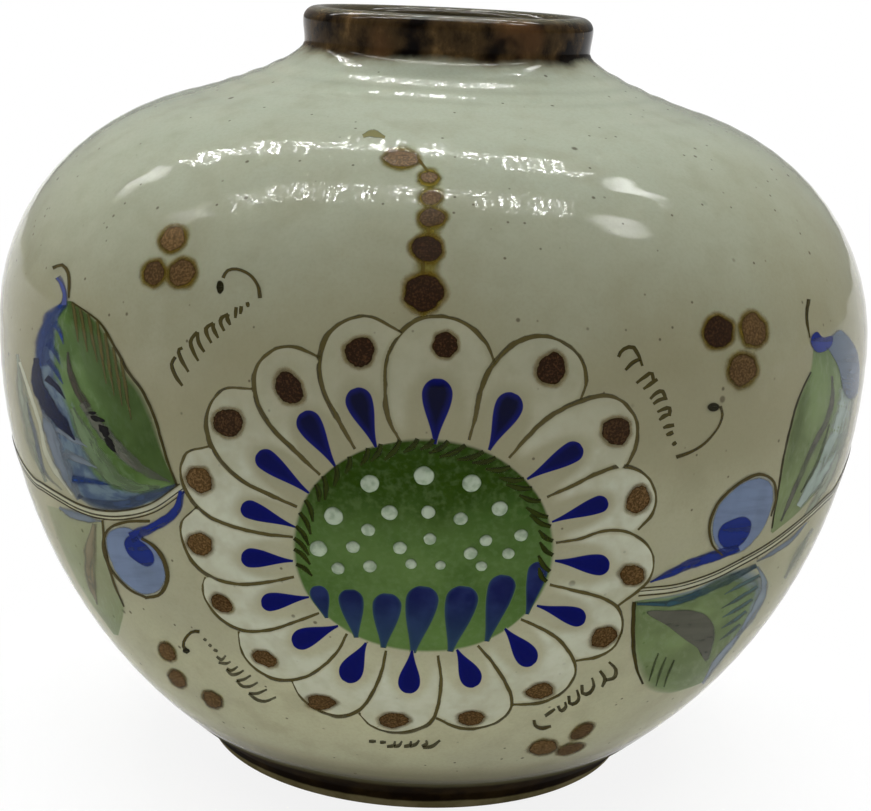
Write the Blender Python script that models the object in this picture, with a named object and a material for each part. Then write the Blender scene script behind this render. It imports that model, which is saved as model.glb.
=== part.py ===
"""Painted stoneware vase, 178 mm across and 154 mm tall, with a flower laid on in thick slip.

Metres, +Z up. The vase stands on Z = 0 about the Z axis and the flower faces -Y.
The clay is thrown in five sections that are luted together: foot ring, lower bowl, shoulder
dome, neck collar and rim ring. Each seam is a tongue and groove with a slip gap.
Every section is a closed half outline turned about Z. The slip follows the curved wall:
across and up distances on the wall are true lengths.
"""

import bmesh
import bpy
import math
from bisect import bisect_right
from mathutils import Vector
from mathutils.geometry import interpolate_bezier

# Body, as seen from outside. Heights run from the foot and from the rim.
VASE_HEIGHT = 0.1540
BELLY_RADIUS = 0.0890
BASE_RADIUS = 0.0476
TERRACE_RADIUS = 0.0514
NECK_RADIUS = 0.0290
RIM_HEIGHT = 0.0070
NECK_RISE = 0.0108
BASE_RISE = math.radians(37)
TERRACE_SLOPE = math.radians(15)

# Shape of the wall: where the belly is between base and terrace, and how full each curve is,
# as shares of the rise or the width that it spans
BELLY_SHARE = 0.652
BASE_PULL = 0.824
LOWER_FULLNESS = 0.394
UPPER_FULLNESS = 0.505
SHOULDER_REACH = 0.610
TERRACE_REACH = 0.160
NECK_DROP = 0.330

# Clay
WALL = 0.0050
FLOOR = 0.0050
FLOOR_RADIUS = 0.0430

# Foot ring
FOOT_HEIGHT = 0.0050
FOOT_RADIUS = 0.0443
FOOT_WIDTH = 0.0105
FOOT_EDGE = 0.0007
FOOT_LEAN = 0.0010

# Rim ring
LIP_BULGE = 0.0004
LIP_ROUND = 0.0016

# Luted seams
SLIP_GAP = 0.0003
TONGUE_DEPTH = 0.0012
TONGUE_SHARE = 1 / 3

# Flower in thick slip. Headings run clockwise from the top, one for each petal.
FLOWER_DROP = 0.0240
PETAL_HEADINGS = (3, 30, 55, 75, 98, 119, 145, 166, 186, 205, 226, 248, 266, 283, 301, 319, 341)
PETAL_TIP = 0.0410
PETAL_SHOULDER = 0.0355
PETAL_START = 0.0295
LOOP_WIDTH = 0.0024
LOOP_TAPER = 0.45
LOOP_RELIEF = 0.0005
LOOP_CLEARANCE = 0.0008
SLIP_SEAT = 0.0001

# Slip dots: across and up from the middle of the flower, and radius, in millimetres
DOT_PLACES = (
    (-9.5, 12.5, 1.6),
    (-0.5, 14.5, 1.7),
    (7.5, 13.5, 1.6),
    (-15.5, 6.0, 1.7),
    (-6.0, 7.5, 1.4),
    (0.5, 8.0, 1.2),
    (6.0, 7.0, 1.2),
    (12.5, 9.0, 1.4),
    (-9.5, 4.0, 1.2),
    (-18.0, -0.5, 1.6),
    (-12.0, 0.5, 1.2),
    (-4.0, 1.0, 1.2),
    (1.0, 3.0, 1.1),
    (10.5, 3.0, 1.1),
    (16.5, 4.0, 1.2),
    (14.5, 0.5, 1.1),
    (8.0, 0.5, 1.2),
    (-14.5, -4.0, 1.2),
    (-9.0, -3.0, 1.2),
    (-2.0, -2.0, 1.0),
    (3.0, -2.0, 0.9),
    (10.0, -2.0, 1.0),
)
DOT_RELIEF = 0.0006

# Mesh fineness
TURN_STEPS = 56
BODY_STEPS = 8
NECK_STEPS = 5
LIP_STEPS = 6
LOOP_SIDE_STEPS = 2
LOOP_TIP_STEPS = 8
DOT_STEPS = 12
FINE_STEPS = 60


def along(point, angle, distance):
    """The point at a distance from another, at an angle above the outward direction."""
    return Vector((point[0] + distance * math.cos(angle), point[1] + distance * math.sin(angle)))


# Corners of the outer outline, as (radius, height)
NECK = Vector((NECK_RADIUS, VASE_HEIGHT - RIM_HEIGHT))
TERRACE = Vector((TERRACE_RADIUS, NECK[1] - NECK_RISE))
BASE = Vector((BASE_RADIUS, FOOT_HEIGHT))
BELLY = Vector((BELLY_RADIUS, BASE[1] + BELLY_SHARE * (TERRACE[1] - BASE[1])))


def wall_stretches():
    """The lower wall, the shoulder and the neck, each as start, its handle, end handle and end."""
    low_rise = BELLY[1] - BASE[1]
    high_rise = TERRACE[1] - BELLY[1]
    base_handle = along(BASE, BASE_RISE, BASE_PULL * (BELLY_RADIUS - BASE_RADIUS))
    below_belly = BELLY - Vector((0, LOWER_FULLNESS * low_rise))
    above_belly = BELLY + Vector((0, UPPER_FULLNESS * high_rise))
    before = along(TERRACE, -TERRACE_SLOPE, SHOULDER_REACH * (BELLY_RADIUS - TERRACE_RADIUS))
    after = along(TERRACE, math.pi - TERRACE_SLOPE, TERRACE_REACH * (TERRACE_RADIUS - NECK_RADIUS))
    below_neck = NECK - Vector((0, NECK_DROP * NECK_RISE))
    return (
        (BASE, base_handle, below_belly, BELLY),
        (BELLY, above_belly, before, TERRACE),
        (TERRACE, after, below_neck, NECK),
    )


LOWER, UPPER, COLLAR = wall_stretches()


def curve(stretch, steps):
    """Points along a stretch of the wall."""
    return [Vector(point) for point in interpolate_bezier(*stretch, steps + 1)]


def inward(points, start_along, end_along):
    """Each point of an outline that runs up, moved into the clay by the wall thickness."""
    moved = []
    for i, point in enumerate(points):
        if i == 0:
            run = start_along
        elif i == len(points) - 1:
            run = end_along
        else:
            run = (points[i + 1] - points[i - 1]).normalized()
        moved.append(point + WALL * Vector((-run[1], run[0])))
    return moved


def run_at(stretch, end):
    """The unit direction of a stretch of the wall at its start (0) or its end (1)."""
    pair = (stretch[2], stretch[3]) if end else (stretch[0], stretch[1])
    return (pair[1] - pair[0]).normalized()


def seam(outer, inner, run, tongue_below=False):
    """Both faces of a luted seam from its outer to its inner edge: (section below, section above).

    run points from the section below to the one above. The tongue is on the section above
    unless tongue_below is set.
    """
    across = (inner - outer).normalized()
    width = (inner - outer).length
    near = width * (1 - TONGUE_SHARE) / 2
    far = width - near
    half = SLIP_GAP / 2
    depth = TONGUE_DEPTH if tongue_below else -TONGUE_DEPTH
    below_wider = 0 if tongue_below else SLIP_GAP
    above_wider = SLIP_GAP - below_wider
    faces = []
    for side, wider in ((-half, below_wider), (half, above_wider)):
        steps = (
            (0, side),
            (near - wider, side),
            (near - wider, side + depth),
            (far + wider, side + depth),
            (far + wider, side),
            (width, side),
        )
        faces.append([outer + x * across + y * run for x, y in steps])
    return faces


def lip():
    """The rounded lip from outside to inside, as half an ellipse."""
    middle = NECK_RADIUS + LIP_BULGE / 2 - WALL / 2
    half = WALL / 2 + LIP_BULGE / 2
    points = []
    for i in range(LIP_STEPS + 1):
        turn = math.pi * i / LIP_STEPS
        height = VASE_HEIGHT - LIP_ROUND * (1 - math.sin(turn))
        points.append(Vector((middle + half * math.cos(turn), height)))
    return points


def section_outlines():
    """Half outlines of the five sections, each a closed loop of (radius, height)."""
    upward = Vector((0, 1))
    ring_inner = Vector((FOOT_RADIUS - FOOT_WIDTH, FOOT_HEIGHT))
    foot_face, bowl_face = seam(BASE, ring_inner, upward, tongue_below=True)

    lower_run = run_at(LOWER, 0)
    lower = curve(LOWER, BODY_STEPS)
    lower_inside = inward(lower, lower_run, upward)
    belly_low, belly_high = seam(lower[-1], lower_inside[-1], upward)

    terrace_run = run_at(UPPER, 1)
    upper = curve(UPPER, BODY_STEPS)
    upper_inside = inward(upper, upward, terrace_run)
    terrace_low, terrace_high = seam(upper[-1], upper_inside[-1], terrace_run)

    collar = curve(COLLAR, NECK_STEPS)
    collar_inside = inward(collar, terrace_run, upward)
    neck_low, neck_high = seam(collar[-1], collar_inside[-1], upward)

    foot = [
        Vector((FOOT_RADIUS - FOOT_EDGE, 0)),
        Vector((FOOT_RADIUS, FOOT_EDGE)),
        *foot_face,
        Vector((ring_inner[0] - FOOT_LEAN, FOOT_EDGE)),
        Vector((ring_inner[0] - FOOT_LEAN + FOOT_EDGE, 0)),
    ]
    floor_top = FOOT_HEIGHT + FLOOR
    bowl = [
        *lower[1:-1],
        *belly_low,
        *reversed(lower_inside[1:-1]),
        Vector((FLOOR_RADIUS, floor_top)),
        Vector((0, floor_top)),
        Vector((0, bowl_face[-1][1])),
        *reversed(bowl_face),
    ]
    dome = [*upper[1:-1], *terrace_low, *reversed(upper_inside[1:-1]), *reversed(belly_high)]
    neck = [*collar[1:-1], *neck_low, *reversed(collar_inside[1:-1]), *reversed(terrace_high)]
    rim = [*lip(), *reversed(neck_high)]
    return {
        "foot_ring": foot,
        "lower_bowl": bowl,
        "shoulder_dome": dome,
        "neck_collar": neck,
        "rim_ring": rim,
    }


def finish_object(name, bm, material):
    """Turn a closed mesh into a named object with its faces out."""
    bmesh.ops.remove_doubles(bm, verts=bm.verts, dist=1e-7)
    bmesh.ops.recalc_face_normals(bm, faces=bm.faces)
    mesh = bpy.data.meshes.new(name)
    bm.to_mesh(mesh)
    bm.free()
    mesh.materials.append(material)
    made = bpy.data.objects.new(name, mesh)
    bpy.context.scene.collection.objects.link(made)
    return made


def turned(name, outline, material):
    """A section made by turning its half outline about Z."""
    bm = bmesh.new()
    verts = [bm.verts.new((point[0], 0, point[1])) for point in outline]
    edges = []
    for i, vert in enumerate(verts):
        after = verts[(i + 1) % len(verts)]
        if vert.co.x > 0 or after.co.x > 0:
            edges.append(bm.edges.new((vert, after)))
    bmesh.ops.spin(
        bm,
        geom=verts + edges,
        axis=(0, 0, 1),
        cent=(0, 0, 0),
        angle=2 * math.pi,
        steps=TURN_STEPS,
        use_merge=True,
    )
    return finish_object(name, bm, material)


class WallSurface:
    """The outside of the wall from the base to the terrace, measured along it from the belly."""

    def __init__(self):
        lower = curve(LOWER, FINE_STEPS)
        self.points = lower + curve(UPPER, FINE_STEPS)[1:]
        self.lengths = [0]
        for here, after in zip(self.points, self.points[1:]):
            self.lengths.append(self.lengths[-1] + (after - here).length)
        self.belly = self.lengths[len(lower) - 1]

    def place(self, across, up, lift):
        """The point at a distance round and up from the belly's front, lifted off the wall."""
        length = self.belly + up
        i = min(max(bisect_right(self.lengths, length) - 1, 0), len(self.points) - 2)
        here, after = self.points[i], self.points[i + 1]
        share = (length - self.lengths[i]) / (self.lengths[i + 1] - self.lengths[i])
        spot = here.lerp(after, share)
        run = (after - here).normalized()
        turn = across / spot[0]
        out = spot + lift * Vector((run[1], -run[0]))
        return Vector((out[0] * math.sin(turn), -out[0] * math.cos(turn), out[1]))


def slip_loop(name, wall, path, material):
    """A raised, tapering stroke of slip along a path on the wall."""
    bm = bmesh.new()
    rows = []
    for i, spot in enumerate(path):
        run = (path[min(i + 1, len(path) - 1)] - path[max(i - 1, 0)]).normalized()
        aside = Vector((-run[1], run[0]))
        end_share = abs(2 * i / (len(path) - 1) - 1)
        half = LOOP_WIDTH / 2 * (1 - (1 - LOOP_TAPER) * end_share**2)
        row = []
        for share, lift in ((-1, 0), (-0.5, LOOP_RELIEF), (0.5, LOOP_RELIEF), (1, 0)):
            foot = spot + share * half * aside
            row.append(bm.verts.new(wall.place(foot[0], foot[1], SLIP_SEAT + lift)))
        rows.append(row)
    for here, after in zip(rows, rows[1:]):
        for j in range(4):
            k = (j + 1) % 4
            bm.faces.new((here[j], here[k], after[k], after[j]))
    bm.faces.new(rows[0])
    bm.faces.new(rows[-1])
    return finish_object(name, bm, material)


def petal_path(index):
    """The middle line of a petal's slip loop, between the bounds shared with its neighbours."""
    count = len(PETAL_HEADINGS)
    heading = PETAL_HEADINGS[index]
    before = (heading - PETAL_HEADINGS[index - 1]) % 360 / 2
    after = (PETAL_HEADINGS[(index + 1) % count] - heading) % 360 / 2
    axis = math.radians(heading + (after - before) / 2)
    spread = math.radians(before + after) / 2
    inset = LOOP_WIDTH / 2 + LOOP_CLEARANCE
    wide = PETAL_SHOULDER * math.sin(spread) - inset
    narrow = PETAL_START * math.sin(spread) - inset
    side = []
    for i in range(LOOP_SIDE_STEPS):
        share = i / LOOP_SIDE_STEPS
        half = narrow + (wide - narrow) * share
        side.append((half, PETAL_START + (PETAL_SHOULDER - PETAL_START) * share))
    flat = [(-x, y) for x, y in side]
    for i in range(LOOP_TIP_STEPS + 1):
        turn = math.pi * i / LOOP_TIP_STEPS
        reach = (PETAL_TIP - PETAL_SHOULDER) * math.sin(turn)
        flat.append((-wide * math.cos(turn), PETAL_SHOULDER + reach))
    flat += reversed(side)
    path = []
    for x, y in flat:
        across = x * math.cos(axis) + y * math.sin(axis)
        up = y * math.cos(axis) - x * math.sin(axis)
        path.append(Vector((across, up - FLOWER_DROP)))
    return path


def slip_dot(name, wall, across, up, radius, material):
    """A low dome of slip on the wall, closed underneath."""
    bm = bmesh.new()
    rings = []
    for share, lift in ((1, 0), (0.92, 0.45), (0.6, 0.85)):
        ring = []
        for i in range(DOT_STEPS):
            turn = 2 * math.pi * i / DOT_STEPS
            x = across + share * radius * math.cos(turn)
            y = up + share * radius * math.sin(turn)
            ring.append(bm.verts.new(wall.place(x, y, SLIP_SEAT + lift * DOT_RELIEF)))
        rings.append(ring)
    under = bm.verts.new(wall.place(across, up, SLIP_SEAT))
    crown = bm.verts.new(wall.place(across, up, SLIP_SEAT + DOT_RELIEF))
    for i in range(DOT_STEPS):
        k = (i + 1) % DOT_STEPS
        bm.faces.new((under, rings[0][i], rings[0][k]))
        bm.faces.new((crown, rings[-1][i], rings[-1][k]))
        for low, high in zip(rings, rings[1:]):
            bm.faces.new((low[i], low[k], high[k], high[i]))
    return finish_object(name, bm, material)


def finish(name, colour, roughness):
    """A plain fired finish."""
    material = bpy.data.materials.new(name)
    material.use_nodes = True
    shader = material.node_tree.nodes["Principled BSDF"]
    shader.inputs["Base Color"].default_value = (*colour, 1)
    shader.inputs["Roughness"].default_value = roughness
    return material


def main():
    for old in list(bpy.data.objects):
        bpy.data.objects.remove(old, do_unlink=True)
    glaze = finish("grey_glaze", (0.30, 0.31, 0.25), 0.25)
    brown = finish("iron_brown_glaze", (0.06, 0.035, 0.015), 0.3)
    slip = finish("white_slip", (0.55, 0.55, 0.47), 0.35)
    finishes = {"foot_ring": brown, "rim_ring": brown}
    for name, outline in section_outlines().items():
        turned(name, outline, finishes.get(name, glaze))
    wall = WallSurface()
    for i in range(len(PETAL_HEADINGS)):
        slip_loop(f"petal_loop_{i + 1:02d}", wall, petal_path(i), slip)
    for i, (across, up, radius) in enumerate(DOT_PLACES):
        slip_dot(f"slip_dot_{i + 1:02d}", wall, across / 1000, up / 1000 - FLOWER_DROP, radius / 1000, slip)


main()
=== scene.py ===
"""Looks of the painted stoneware vase: one glazed body, and the slip and brush work on its wall.

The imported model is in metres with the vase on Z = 0 and the flower facing -Y. Sizes here are in
millimetres until a point is placed. Paint lies on the wall in flat charts: across and up from a
point of the wall, as true lengths. Brush strokes are given by the pixels of the photograph that
they cross, with half widths in pixels too, and are laid on the wall through the same camera that
takes the picture. A colour of three numbers is as seen on a screen, 0 to 255.
"""

import math

import bpy
import numpy as np
from mathutils import Matrix, Vector
from mathutils.geometry import interpolate_bezier


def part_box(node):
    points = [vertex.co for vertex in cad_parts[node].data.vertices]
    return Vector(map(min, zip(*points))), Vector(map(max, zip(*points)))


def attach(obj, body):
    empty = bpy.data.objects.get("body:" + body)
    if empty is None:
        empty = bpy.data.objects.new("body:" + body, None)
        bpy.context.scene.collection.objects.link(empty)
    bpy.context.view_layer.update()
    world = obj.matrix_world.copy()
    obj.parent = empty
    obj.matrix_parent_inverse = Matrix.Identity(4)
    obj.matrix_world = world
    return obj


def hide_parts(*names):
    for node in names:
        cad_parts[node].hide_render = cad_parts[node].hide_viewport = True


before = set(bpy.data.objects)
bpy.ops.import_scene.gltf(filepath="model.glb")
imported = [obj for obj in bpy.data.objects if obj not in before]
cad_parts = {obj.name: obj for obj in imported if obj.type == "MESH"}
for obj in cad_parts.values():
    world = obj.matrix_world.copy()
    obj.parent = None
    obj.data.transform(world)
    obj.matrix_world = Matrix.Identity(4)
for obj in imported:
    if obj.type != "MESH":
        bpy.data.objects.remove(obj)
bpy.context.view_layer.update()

CHANCE = np.random.default_rng(17)
TURN = 2 * math.pi

# The wall's outer outline as (radius, height), with the same corners as the solids
BASE = (47.6, 5.0)
BELLY = (89.0, 90.54)
TERRACE = (51.4, 136.2)
NECK = (29.0, 147.0)
LOWER = (BASE, (74.84, 25.53), (89.0, 56.84), BELLY)
UPPER = (BELLY, (89.0, 113.6), (73.55, 130.26), TERRACE)
COLLAR = (TERRACE, (47.94, 137.13), (29.0, 143.44), NECK)
LOWER_STEPS = 260
RIM_TOP = 154.0
LIP_BULGE = 0.4
LIP_ROUND = 2.6
WALL_THICK = 5.0
FLOOR_TOP = 10.0
FLOOR_RADIUS = 43.0
FOOT_TOP = 5.0
FOOT_INNER = 32.8
FOOT_OUTER = 44.3

# Throwing marks: how high the rings and the ridges by the neck stand, where the ridges begin and
# end up the wall, and broad swells as height, waves round the vase, twist and start
RING_HIGH = 0.02
RING_PACE = 1.25
RIDGE_HIGH = 0.085
RIDGE_ENDS = (68, 73, 82, 87)
RIDGE_START = 75.3
RIDGE_PACE = 1.21
SWELLS = ((0.10, 3, 0.05, 0.0), (0.06, 5, -0.07, 1.3))

# Camera that took the photograph: place in mm, angles in degrees, focal length in pixels
PHOTO_WIDTH = 871
PHOTO_HEIGHT = 811
CAMERA_PLACE = np.array((0.0, -395.0, 166.4))
CAMERA_DOWN = 13.45
CAMERA_TURN = 0.16
CAMERA_ROLL = 2.75
FOCAL_PIXELS = 1913.0
SENSOR_WIDTH = 36.0
VASE_NEAR, VASE_FAR = 280, 480
MM_PER_PIXEL = 0.17

# The flower's green centre, in its own flat chart, and its hatching in degrees round it
FLOWER_DROP = 24.0
CENTRE_WIDE = 22.7
CENTRE_TALL = 21.3
HATCHES = 29
HATCH_START = -102
HATCH_STEP = 7.4

# Where the other charts start, up from the belly, and how far round the sprays lie
DOTS_UP = 30.0
SPRAY_UP = -10.0
SPRAY_ROUND = 45

# How far the layers stand off the wall
UNDER = 0.08
FILM = 0.010
LAYER = 0.006
TIE_BREAK = 0.0012
SPRAY_TIE_BREAK = 0.003
SLIP_RISE = 0.06
DOT_RISE = 0.45
IRON_LIFT = 0.07
IRON_SWELL = 0.06

# How far an iron dot's own stain reaches, as a share of its size, and how many pixels the ochre
# reaches past dots above and below a row of the picture
STAIN_REACH = 1.42
STAIN_ABOVE = 10
STAIN_BELOW = 5
LOW_DOTS = 600

# The row of pixels above which petals have heavier lines, and over how many rows
LIGHT_LINES = 520
HEAVIER_OVER = 200

# Lamps: metres between groups of small lights, brightness on and between the small lights and of the
# glow from the left end to the right, and of the room as light and in a mirror
GROUP_PITCH = 0.10
DOT_LIGHT = 32.0
BETWEEN_DOTS = 0.4
GLOW_LIGHT = (1.5, 3.6)
ROOM_LIGHT = 0.1
ROOM_MIRRORED = 0.26

# The glaze: how it bends light, and how deep its fine grain is in metres
GLAZE_IOR = 1.18
GRAIN_DEPTH = 0.0000022

# Inks
OLIVE = (52, 46, 20)
OLIVE_LINE = (66, 58, 30)
RIB_OLIVE = (74, 68, 36)
PETAL_LINE = (74, 67, 38)
HATCHING = (38, 44, 12)
COMB = (62, 56, 30)
KNOB = (30, 28, 12)
NAVY = (5, 14, 42)
BLUE = (29, 41, 100)
SLATE = (24, 46, 94)
VIOLET = (96, 104, 112)
PALE_BLUE = (98, 111, 133)
BLUE_GREY = (110, 119, 125)
CAP_BLUE = (76, 87, 100)
BAND_BLUE = (54, 66, 86)
STEM_BLUE = (62, 69, 108)
TEAL = (46, 68, 76)
LIGHT_TEAL = (136, 148, 140)
FINGER_TEAL = (66, 84, 82)
BROWN_RIB = (56, 53, 42)
PALE_RIB = (112, 106, 86)
GREY_RIB = (84, 85, 75)
DARK_RIB = (80, 80, 70)
DARK_GREEN = (58, 70, 34)
LIGHT_GREEN = (90, 106, 78)
GREY_GREEN = (126, 132, 116)
CREAM = (156, 157, 137)
OCHRE = (106, 97, 36)
LINK = (76, 68, 32)
STREAK = (112, 108, 72)
BURNT = (14, 13, 12)
EVEN_INKS = (NAVY, OLIVE, OLIVE_LINE, RIB_OLIVE, CREAM)


def linear(colour):
    """A colour seen on a screen, as linear light."""
    shares = [value / 255 for value in colour]
    return (*(s / 12.92 if s <= 0.04045 else ((s + 0.055) / 1.055) ** 2.4 for s in shares), 1.0)


def ease(low, high, value):
    """0 below low, 1 above high, smooth between."""
    share = np.clip((value - low) / (high - low), 0, 1)
    return share * share * (3 - 2 * share)


def window(start, full, fade, end, value):
    """0 outside start and end, 1 from full to fade, smooth between."""
    return ease(start, full, value) * ease(-end, -fade, -value)


def bezier(points, steps):
    """Points along a stretch of the outline."""
    return [(p.x, p.y) for p in interpolate_bezier(*(Vector(p) for p in points), steps + 1)]


def lengths(points):
    """How far along a line each of its points is."""
    return np.concatenate(([0], np.cumsum(np.hypot(*np.diff(points, axis=0).T))))


WALL = np.array(bezier(LOWER, LOWER_STEPS) + bezier(UPPER, 240)[1:] + bezier(COLLAR, 100)[1:])
LENGTH = lengths(WALL)
LENGTH -= LENGTH[LOWER_STEPS]
RUN = np.gradient(WALL, LENGTH, axis=0)


def wall_radius(length):
    return np.interp(length, LENGTH, WALL[:, 0])


def wall_height(length):
    return np.interp(length, LENGTH, WALL[:, 1])


def wall_length(height):
    return np.interp(height, WALL[:, 1], LENGTH)


def ripple(azimuth, length):
    """Unevenness of the thrown wall: faint turning rings and broad hand-made swells."""
    ends = window(LENGTH[0], LENGTH[0] + 12, LENGTH[-1] - 5, LENGTH[-1], length)
    rings = RING_HIGH * np.sin(RING_PACE * length + 0.4 * np.sin(azimuth))
    ridges = RIDGE_HIGH * window(*RIDGE_ENDS, length) * np.sin((length - RIDGE_START) * RIDGE_PACE)
    swells = 0.0
    for high, waves, twist, start in SWELLS:
        swells = swells + high * np.sin(waves * azimuth + twist * length + start)
    return ends * (rings + ridges + swells)


def on_wall(azimuth, length, lift):
    """Points in metres on the wall, at an angle round from the front and a length up from the belly."""
    azimuth, length, lift = np.broadcast_arrays(azimuth, length, lift)
    out = lift + ripple(azimuth, length)
    radius = wall_radius(length) + out * np.interp(length, LENGTH, RUN[:, 1])
    height = wall_height(length) - out * np.interp(length, LENGTH, RUN[:, 0])
    return np.stack((radius * np.sin(azimuth), -radius * np.cos(azimuth), height), axis=-1) / 1000


def camera_axes():
    """The camera's right, up and forward directions."""
    down, turn, roll = (math.radians(a) for a in (CAMERA_DOWN, CAMERA_TURN, CAMERA_ROLL))
    ahead = math.cos(down)
    forward = np.array((math.sin(turn) * ahead, math.cos(turn) * ahead, -math.sin(down)))
    level = np.cross(forward, (0, 0, 1))
    level /= np.linalg.norm(level)
    above = np.cross(level, forward)
    right = level * math.cos(roll) + above * math.sin(roll)
    up = above * math.cos(roll) - level * math.sin(roll)
    return right, up, forward


RIGHT, UP, FORWARD = camera_axes()


def seen(pixels):
    """Where the wall is under pixels of the photograph: angle from the front, length from the belly.

    A pixel beside the vase gives the place on the wall that it comes nearest to.
    """
    pixels = np.asarray(pixels, float)
    across = (pixels[..., 0, None] - PHOTO_WIDTH / 2) / FOCAL_PIXELS
    down = (pixels[..., 1, None] - PHOTO_HEIGHT / 2) / FOCAL_PIXELS
    ray = FORWARD + across * RIGHT - down * UP
    reach = np.linspace(VASE_NEAR, VASE_FAR, 301)
    x, y, height = np.moveaxis(CAMERA_PLACE + reach[:, None] * ray[..., None, :], -1, 0)
    outside = np.hypot(x, y) - np.interp(height, WALL[:, 1], WALL[:, 0])
    outside[(height < BASE[1]) | (height > NECK[1])] = 1
    inside = outside < 0
    found = inside.any(axis=-1)
    after = np.where(found, np.argmax(inside, axis=-1), np.argmin(outside, axis=-1))[..., None]
    gaps = [np.take_along_axis(outside, after - i, axis=-1)[..., 0] for i in (0, 1)]
    back = np.where(found, gaps[0] / np.minimum(gaps[0] - gaps[1], -1e-6), 0.0)
    spot = CAMERA_PLACE + (reach[after[..., 0]] - back * (reach[1] - reach[0]))[..., None] * ray
    return np.arctan2(spot[..., 0], -spot[..., 1]), wall_length(spot[..., 2])


class Chart:
    """A flat sheet laid on the wall: across and up in mm from its own origin.

    A mirrored chart lies on the back, as far from the side of the vase as the first lies in front.
    """

    def __init__(self, azimuth, length, mirrored):
        self.azimuth = math.radians(azimuth)
        self.length = length
        self.mirrored = mirrored

    def place(self, flat, lift):
        length = self.length + flat[..., 1]
        azimuth = self.azimuth + flat[..., 0] / wall_radius(length)
        return on_wall(math.pi - azimuth if self.mirrored else azimuth, length, lift)

    def facing(self, flat):
        """The wall's own outward directions under flat points."""
        here = self.place(flat, 0.0)
        across, up = (self.place(flat + np.array(step), 0.0) - here for step in ((0.4, 0.0), (0.0, 0.4)))
        out = np.cross(up, across) if self.mirrored else np.cross(across, up)
        return out / np.linalg.norm(out, axis=-1, keepdims=True)

    def at(self, azimuth, length):
        return np.stack((wall_radius(length) * (azimuth - self.azimuth), length - self.length), axis=-1)


def smooth_path(points, count, closed=False):
    """Evenly spaced points on a smooth curve through a few points."""
    points = np.array(points, float)
    if closed:
        points = np.concatenate((points[-2:], points, points[:3]))
    if len(points) == 2:
        return points[0] + np.linspace(0, 1, count)[:, None] * (points[1] - points[0])
    chord = np.concatenate(([0], np.cumsum(np.sqrt(np.hypot(*np.diff(points, axis=0).T)))))
    slope = np.gradient(points, chord, axis=0)
    ends = (chord[2], chord[-3]) if closed else (0, chord[-1])
    fine = np.linspace(*ends, 20 * len(points))
    i = np.clip(np.searchsorted(chord, fine, side="right") - 1, 0, len(points) - 2)
    span = (chord[i + 1] - chord[i])[:, None]
    t = (fine - chord[i])[:, None] / span
    curve = (2 * t**3 - 3 * t**2 + 1) * points[i] + (t**3 - 2 * t**2 + t) * span * slope[i]
    curve += (3 * t**2 - 2 * t**3) * points[i + 1] + (t**3 - t**2) * span * slope[i + 1]
    length = lengths(curve)
    even = np.linspace(0, length[-1], count)
    return np.stack([np.interp(even, length, curve[:, axis]) for axis in (0, 1)], axis=-1)


def spread(values, count):
    """A few values along a stroke, eased out to count values."""
    values = np.array(values, float)
    if len(values) == 1:
        return np.full(count, values[0])
    at = np.linspace(0, 1, count) * (len(values) - 1)
    i = np.clip(at.astype(int), 0, len(values) - 2)
    t = ease(0, 1, at - i)
    return values[i] * (1 - t) + values[i + 1] * t


def square_disc(steps):
    """A square grid drawn out to a disc: its points, and their distance from the middle."""
    side = np.linspace(-1, 1, steps + 1)
    x, y = np.meshgrid(side, side, indexing="ij")
    x, y = x * np.sqrt(1 - y * y / 2), y * np.sqrt(1 - x * x / 2)
    return x, y, np.hypot(x, y)


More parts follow.
